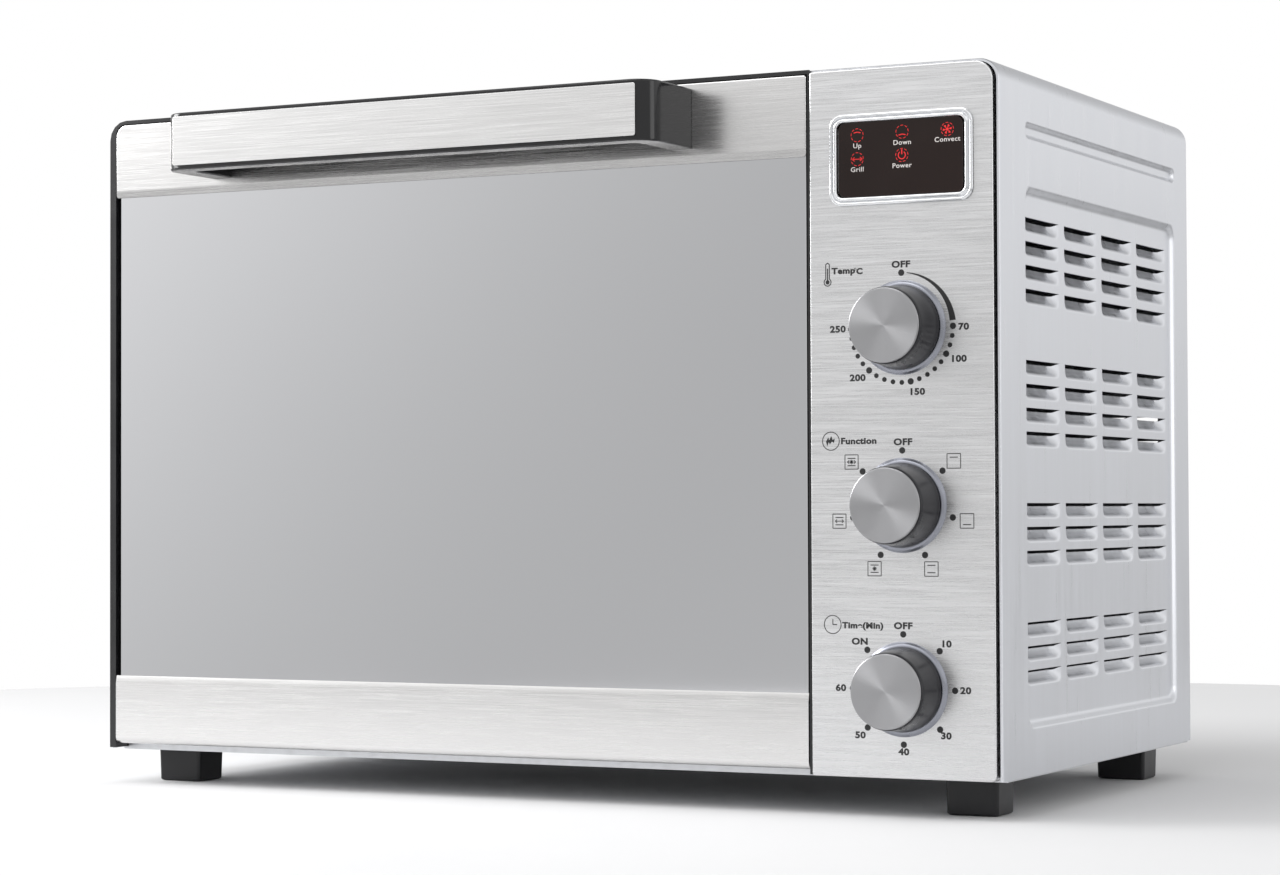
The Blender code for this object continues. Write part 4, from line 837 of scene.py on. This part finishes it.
# ---- knobs ---------------------------------------------------------------------------------------
GRIP_PROFILE = ((0, -0.0135), (0.0034, -0.0135), (0.0034, -0.0021), (0.0206, -0.0021), (0.0210, -0.0023),
                (0.0212, -0.0027), (0.0212, -0.0034), (0.0209, -0.0042), (0.0205, -0.0060), (0.0200, -0.0140),
                (0.01955, -0.0200), (0.0194, -0.0212), (0.0192, -0.0219), (0.0189, -0.0224),
                (0.0185, -0.0226), (0, -0.0226))
DISC_PROFILE = ((0, -0.0229), (0.0186, -0.0229), (0.0187, -0.0231), (0.0187, -0.0236), (0.0185, -0.0239),
                (0.0181, -0.0241), (0.0020, -0.0241), (0, -0.0241))


def build_knobs():
    parts = (("_grip", "knob", "_knob", "knob_black", GRIP_PROFILE),
             ("_disc", "cap", "_knob_cap", "knob_cap_metal", DISC_PROFILE))
    for dial, height in DIAL_HEIGHTS.items():
        centre = (lx(DIAL_X), bz(height))
        for name, look, node, slot, profile in parts:
            bm = bmesh.new()
            add_turned(bm, [(r, fy(y)) for r, y in profile], "y", centre, 96)
            piece(bm, dial + name, look, dial + "_dial", [dial + node], (centre[0], fy(0), centre[1]))


# ---- door ----------------------------------------------------------------------------------------
def build_door():
    slope, past_left, past_right = 0.0043, 0.0, 0.445
    cut_top = bz(GLASS_TOP + GLASS_LAP + 0.0003)
    bm = bmesh.new()
    outline = rounded(lx(DOOR_LEFT), lx(DOOR_RIGHT), bz(GLASS_TOP), bz(DOOR_TOP),
                      (0.0014, 0.0022, 0.0014, 0.0070), 10)
    add_pan(bm, outline, "y", fy(0), fy(0.0137), 0.0008)
    trim = piece(bm, "upper_trim", "trim", "door", ["door_top_trim"])
    bm = bmesh.new()
    add_soft(bm, [(lx(past_left), bz(GLASS_TOP - 0.002)), (lx(past_right), bz(GLASS_TOP - 0.002)),
                  (lx(past_right), cut_top), (lx(past_left), cut_top)],
             "y", fy(SHEET - 0.0001), fy(0.016), 0.00001, 1)
    cut_with(trim, bm, "trim_returns")
    bm = bmesh.new()
    wedge = [(0.0, slope), (-0.001, slope), (-0.001, -0.001), (0.0009, -0.001), (0.0008, 0.0)]
    add_loops(bm, "x", [([(fy(y), bz(GLASS_TOP + z)) for y, z in wedge], run)
                        for run in (lx(past_left), lx(past_right))])
    cut_with(trim, bm, "trim_slope")

    low_bend = 0.004
    section = [(SHEET - 0.0003, GLASS_BOTTOM), (SHEET, GLASS_BOTTOM)]
    section += bend((low_bend, DOOR_BOTTOM + low_bend), low_bend - SHEET, 180, 90)
    section += [(0.0100, DOOR_BOTTOM + SHEET), (0.0100, DOOR_BOTTOM)]
    section += bend((low_bend, DOOR_BOTTOM + low_bend), low_bend, 270, -90)
    section += [(0, GLASS_BOTTOM - slope)]
    bm = bmesh.new()
    add_loops(bm, "x", [([(fy(y), bz(z)) for y, z in section], run)
                        for run in (lx(DOOR_LEFT), lx(DOOR_RIGHT))])
    piece(bm, "lower_trim", "trim", "door", ["door_bottom_trim"])

    bm = bmesh.new()
    add_soft(bm, rounded(lx(DOOR_LEFT + 0.0022), lx(DOOR_RIGHT - 0.0004), bz(GLASS_BOTTOM - GLASS_LAP),
                         bz(GLASS_TOP + GLASS_LAP), (0.001,) * 4, 4), "y", fy(0.0014), fy(0.0054), 0.0006)
    piece(bm, "mirror_pane", "mirror", "door", ["door_glass"])


def build_handle():
    front, foot, bar, arm = -HANDLE_REACH + 0.0011, -0.0003, 0.012, 0.013
    corner, fillet = 0.013, 0.005
    left, right = HANDLE_MID - HANDLE_HALF, HANDLE_MID + HANDLE_HALF
    outline = [(left, foot)]
    outline += bend((left + corner, front + corner), corner, 180, 90, 20)
    outline += bend((right - corner, front + corner), corner, 270, 90, 20)
    outline += [(right, foot), (right - arm, foot)]
    inner_left, inner_right, inner = left + arm, right - arm, front + bar
    outline += bend((inner_right - fillet, inner + fillet), fillet, 0, -90, 8)
    outline += bend((inner_left + fillet, inner + fillet), fillet, 270, -90, 8)
    outline += [(inner_left, foot)]
    bm = bmesh.new()
    add_soft(bm, [(lx(x), fy(y)) for x, y in outline], "z", bz(HANDLE_LOW), bz(HANDLE_HIGH), 0.0011, 4)
    piece(bm, "handle_bow", "gloss", "door", ["handle"])
    bm = bmesh.new()
    add_soft(bm, rounded(lx(HANDLE_MID - 0.1423), lx(HANDLE_MID + 0.1423), bz(0.3241), bz(0.3510),
                         (0.0010,) * 4, 4), "y", fy(-HANDLE_REACH), fy(-HANDLE_REACH + 0.0010), 0.0003)
    piece(bm, "handle_face", "plate", "door", ["handle_plate"])


# ---- feet and small parts ------------------------------------------------------------------------
FOOT_LEFT, FOOT_WIDE, FOOT_DEEP = 0.0130, 0.0285, 0.0245
FOOT_BACKS = {"front": 0.0295, "rear": 0.2650}
FOOT_STEPS = ((0.0, 0.0016), (0.0003, 0.0009), (0.0009, 0.0004), (0.0180, 0.0), (0.0187, 0.0003))


def build_feet():
    for place, back in FOOT_BACKS.items():
        for side, x in (("left", FOOT_LEFT), ("right", WIDTH - FOOT_LEFT - FOOT_WIDE)):
            bm = bmesh.new()
            add_loops(bm, "z", [(rounded(lx(x) + inward, lx(x + FOOT_WIDE) - inward, fy(back) + inward,
                                         fy(back + FOOT_DEEP) - inward, (0.0022,) * 4, 6), z)
                                for z, inward in FOOT_STEPS])
            made = piece(bm, f"pad_{place}_{side}", "foot", "cabinet", [f"foot_{place}_{side}"])
            bm = bmesh.new()
            add_turned(bm, [(0, -0.001), (0.0046, -0.001), (0.0046, 0.0120), (0.0024, 0.0120),
                            (0.0024, 0.021), (0, 0.021)],
                       "z", (lx(x + FOOT_WIDE / 2), fy(back + FOOT_DEEP / 2)), 32)
            cut_with(made, bm, "pad_bore")


def build_rack():
    lo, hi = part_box("wire_rack")
    radius, thin = 0.0025, 0.0014
    z = lo.z + radius
    left, right, front, rear = lo.x + radius, hi.x - radius, lo.y + radius, hi.y - radius
    bm = bmesh.new()
    add_tube(bm, [(x, y, z) for x, y in rounded(left, right, front, rear, (0.010,) * 4, 8)], radius, 16, True)
    for i in range(15):
        x = left + (right - left) * (i + 1) / 16
        add_tube(bm, [(x, front - 0.0004, z + 0.0008), (x, rear + 0.0004, z + 0.0008)], thin, 12)
    middle = (front + rear) / 2
    add_tube(bm, [(left - 0.0004, middle, z - 0.0008), (right + 0.0004, middle, z - 0.0008)], thin, 12)
    piece(bm, "rack_grid", "rack", "rack", ["wire_rack"], angle=45)


def build_springs():
    axis = (fy(0.007), bz(0.0085))
    for side, start in (("left", 0.0195), ("right", 0.4085)):
        turns, steps = 6, 24
        path = [(lx(start) + 0.013 * i / (turns * steps), axis[0] + 0.0035 * cos(2 * pi * i / steps),
                 axis[1] + 0.0035 * sin(2 * pi * i / steps)) for i in range(turns * steps + 1)]
        bm = bmesh.new()
        add_tube(bm, path, 0.00055, 8)
        piece(bm, "coil_" + side, "bolt", "cabinet", ["door_spring_" + side], angle=50)


CAD_LOOKS = {
    "front_frame": "frame", "door_inner_frame": "door_frame", "oven_cavity": "cavity", "back_panel": "zinc",
    "base_plate": "zinc", "thermostat_bulb": "copper", "baking_tray": "tray", "crumb_tray": "crumb",
    "display_board": "board", "convection_motor": "unit", "rotisserie_motor": "unit", "cord_gland": "gloss",
}


def dress_cad():
    """Finishes for the CAD nodes that stay."""
    for name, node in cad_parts.items():
        if node.hide_render:
            continue
        look = CAD_LOOKS.get(name)
        if look is None and name.endswith("_control"):
            look = "unit"
        elif look is None and "_element_" in name:
            look = "element"
        elif look is None and ("screw" in name or "pin" in name or "stay" in name or "shaft" in name):
            look = "bolt"
        node.data.materials.clear()
        node.data.materials.append(M[look or "zinc"])
        soften(node, 35)


# ---- stage ---------------------------------------------------------------------------------------
def build_floor():
    look = Look("stage_floor", (0.72, 0.72, 0.725), 0.8)
    look.vary_colour(look.noise(8, 2.0), 0.995, 1.005)
    bm = bmesh.new()
    bmesh.ops.create_circle(bm, cap_ends=True, radius=1.1, segments=128)
    mesh = bpy.data.meshes.new("floor")
    bm.to_mesh(mesh)
    bm.free()
    floor = bpy.data.objects.new("floor", mesh)
    floor.location = (0, 0, -0.0002)
    mesh.materials.append(look.material)
    bpy.context.scene.collection.objects.link(floor)


def build_world():
    """Studio surroundings whose brightness changes with direction. The camera itself sees plain white."""
    world = bpy.data.worlds.new("studio")
    bpy.context.scene.world = world
    world.use_nodes = True
    tree = world.node_tree

    def maths(operation, *values):
        made = tree.nodes.new("ShaderNodeMath")
        made.operation = operation
        for i, value in enumerate(values):
            if isinstance(value, (int, float)):
                made.inputs[i].default_value = value
            else:
                tree.links.new(value, made.inputs[i])
        return made.outputs[0]

    def ramp(value, low, high, start, end):
        made = tree.nodes.new("ShaderNodeMapRange")
        made.interpolation_type = "SMOOTHSTEP"
        tree.links.new(value, made.inputs["Value"])
        for socket, number in (("From Min", start), ("From Max", end), ("To Min", low), ("To Max", high)):
            made.inputs[socket].default_value = number
        return made.outputs["Result"]

    coords = tree.nodes.new("ShaderNodeTexCoord")
    split = tree.nodes.new("ShaderNodeSeparateXYZ")
    tree.links.new(coords.outputs["Generated"], split.inputs[0])
    x, y, z = split.outputs
    lean = maths("ADD", maths("MULTIPLY_ADD", x, -3.99, -1.674), maths("MULTIPLY", z, 2.69))
    lean = maths("SMOOTH_MIN", maths("MAXIMUM", lean, 0.0), 1.08, 0.3)
    front = maths("MULTIPLY_ADD", maths("MULTIPLY", lean, lean), 0.404, 0.597)
    front = maths("ADD", front, ramp(z, 0.0, 0.40, 0.12, 0.38))
    front = maths("ADD", front, ramp(x, 0.0, 0.10, -0.40, -0.30))
    front = maths("MULTIPLY", front, ramp(z, 0.50, 1.0, -0.40, -0.06))
    rear = maths("MINIMUM", maths("MAXIMUM", maths("MULTIPLY_ADD", z, 2.6, 0.74), 0.42), 1.05)
    rear = maths("MULTIPLY", rear, ramp(z, 1.0, 0.62, 0.12, 0.50))
    rear = maths("MULTIPLY", rear, ramp(x, 0.80, 1.10, 0.20, 0.42))
    share = ramp(y, 0.0, 1.0, -0.15, 0.45)
    both = maths("ADD", maths("MULTIPLY", rear, share),
                 maths("MULTIPLY", front, maths("SUBTRACT", 1.0, share)))
    both = maths("MULTIPLY", both, ramp(z, 1.0, 0.58, 0.60, 0.95))
    seen = tree.nodes.new("ShaderNodeLightPath").outputs["Is Camera Ray"]
    shown = maths("ADD", seen, maths("MULTIPLY", both, maths("SUBTRACT", 1.0, seen)))
    background = tree.nodes["Background"]
    background.inputs["Color"].default_value = (1.0, 1.0, 1.0, 1.0)
    tree.links.new(shown, background.inputs["Strength"])


def area(name, place, target, wide, high, power):
    light = bpy.data.lights.new(name, "AREA")
    light.shape, light.size, light.size_y, light.energy = "RECTANGLE", wide, high, power
    made = bpy.data.objects.new(name, light)
    made.location = place
    made.rotation_euler = (Vector(target) - Vector(place)).to_track_quat("-Z", "Y").to_euler()
    made.visible_camera = False
    bpy.context.scene.collection.objects.link(made)


def build_lights():
    area("softbox_right", (2.3, -0.15, 0.45), (0.1, 0.0, 0.2), 0.75, 1.3, 4)
    area("softbox_top", (-0.3, -1.2, 2.4), (0.0, 0.0, 0.1), 1.8, 1.4, 14)
    area("softbox_left", (-1.60, -0.80, 0.95), (0.2, -0.15, 0.2), 0.90, 0.90, 30)


def build_camera():
    """The photograph's viewing angle. Yaw, pitch and roll are in radians."""
    camera = bpy.data.cameras.new("camera")
    camera.lens, camera.sensor_width = 86.79, 36.0
    camera.clip_start = 0.05
    holder = bpy.data.objects.new("camera", camera)
    yaw, pitch, roll = 0.473190, 0.024035, -0.003505
    ahead = Vector((-sin(yaw) * cos(pitch), cos(yaw) * cos(pitch), sin(pitch)))
    right = Vector((cos(yaw), sin(yaw), 0.0))
    up = right.cross(ahead)
    side = cos(roll) * right + sin(roll) * up
    top = -sin(roll) * right + cos(roll) * up
    turn = Matrix((side, top, -ahead)).transposed()
    holder.matrix_world = Matrix.Translation((lx(1.0747), fy(-1.4330), bz(0.1338))) @ turn.to_4x4()
    bpy.context.scene.collection.objects.link(holder)
    bpy.context.scene.camera = holder


build_wrapper()
build_panel()
build_display()
build_marks()
build_icons()
build_knobs()
build_door()
build_handle()
build_feet()
build_rack()
build_springs()
dress_cad()

bpy.context.scene.view_settings.view_transform = "Standard"
build_floor()
build_world()
build_lights()
build_camera()
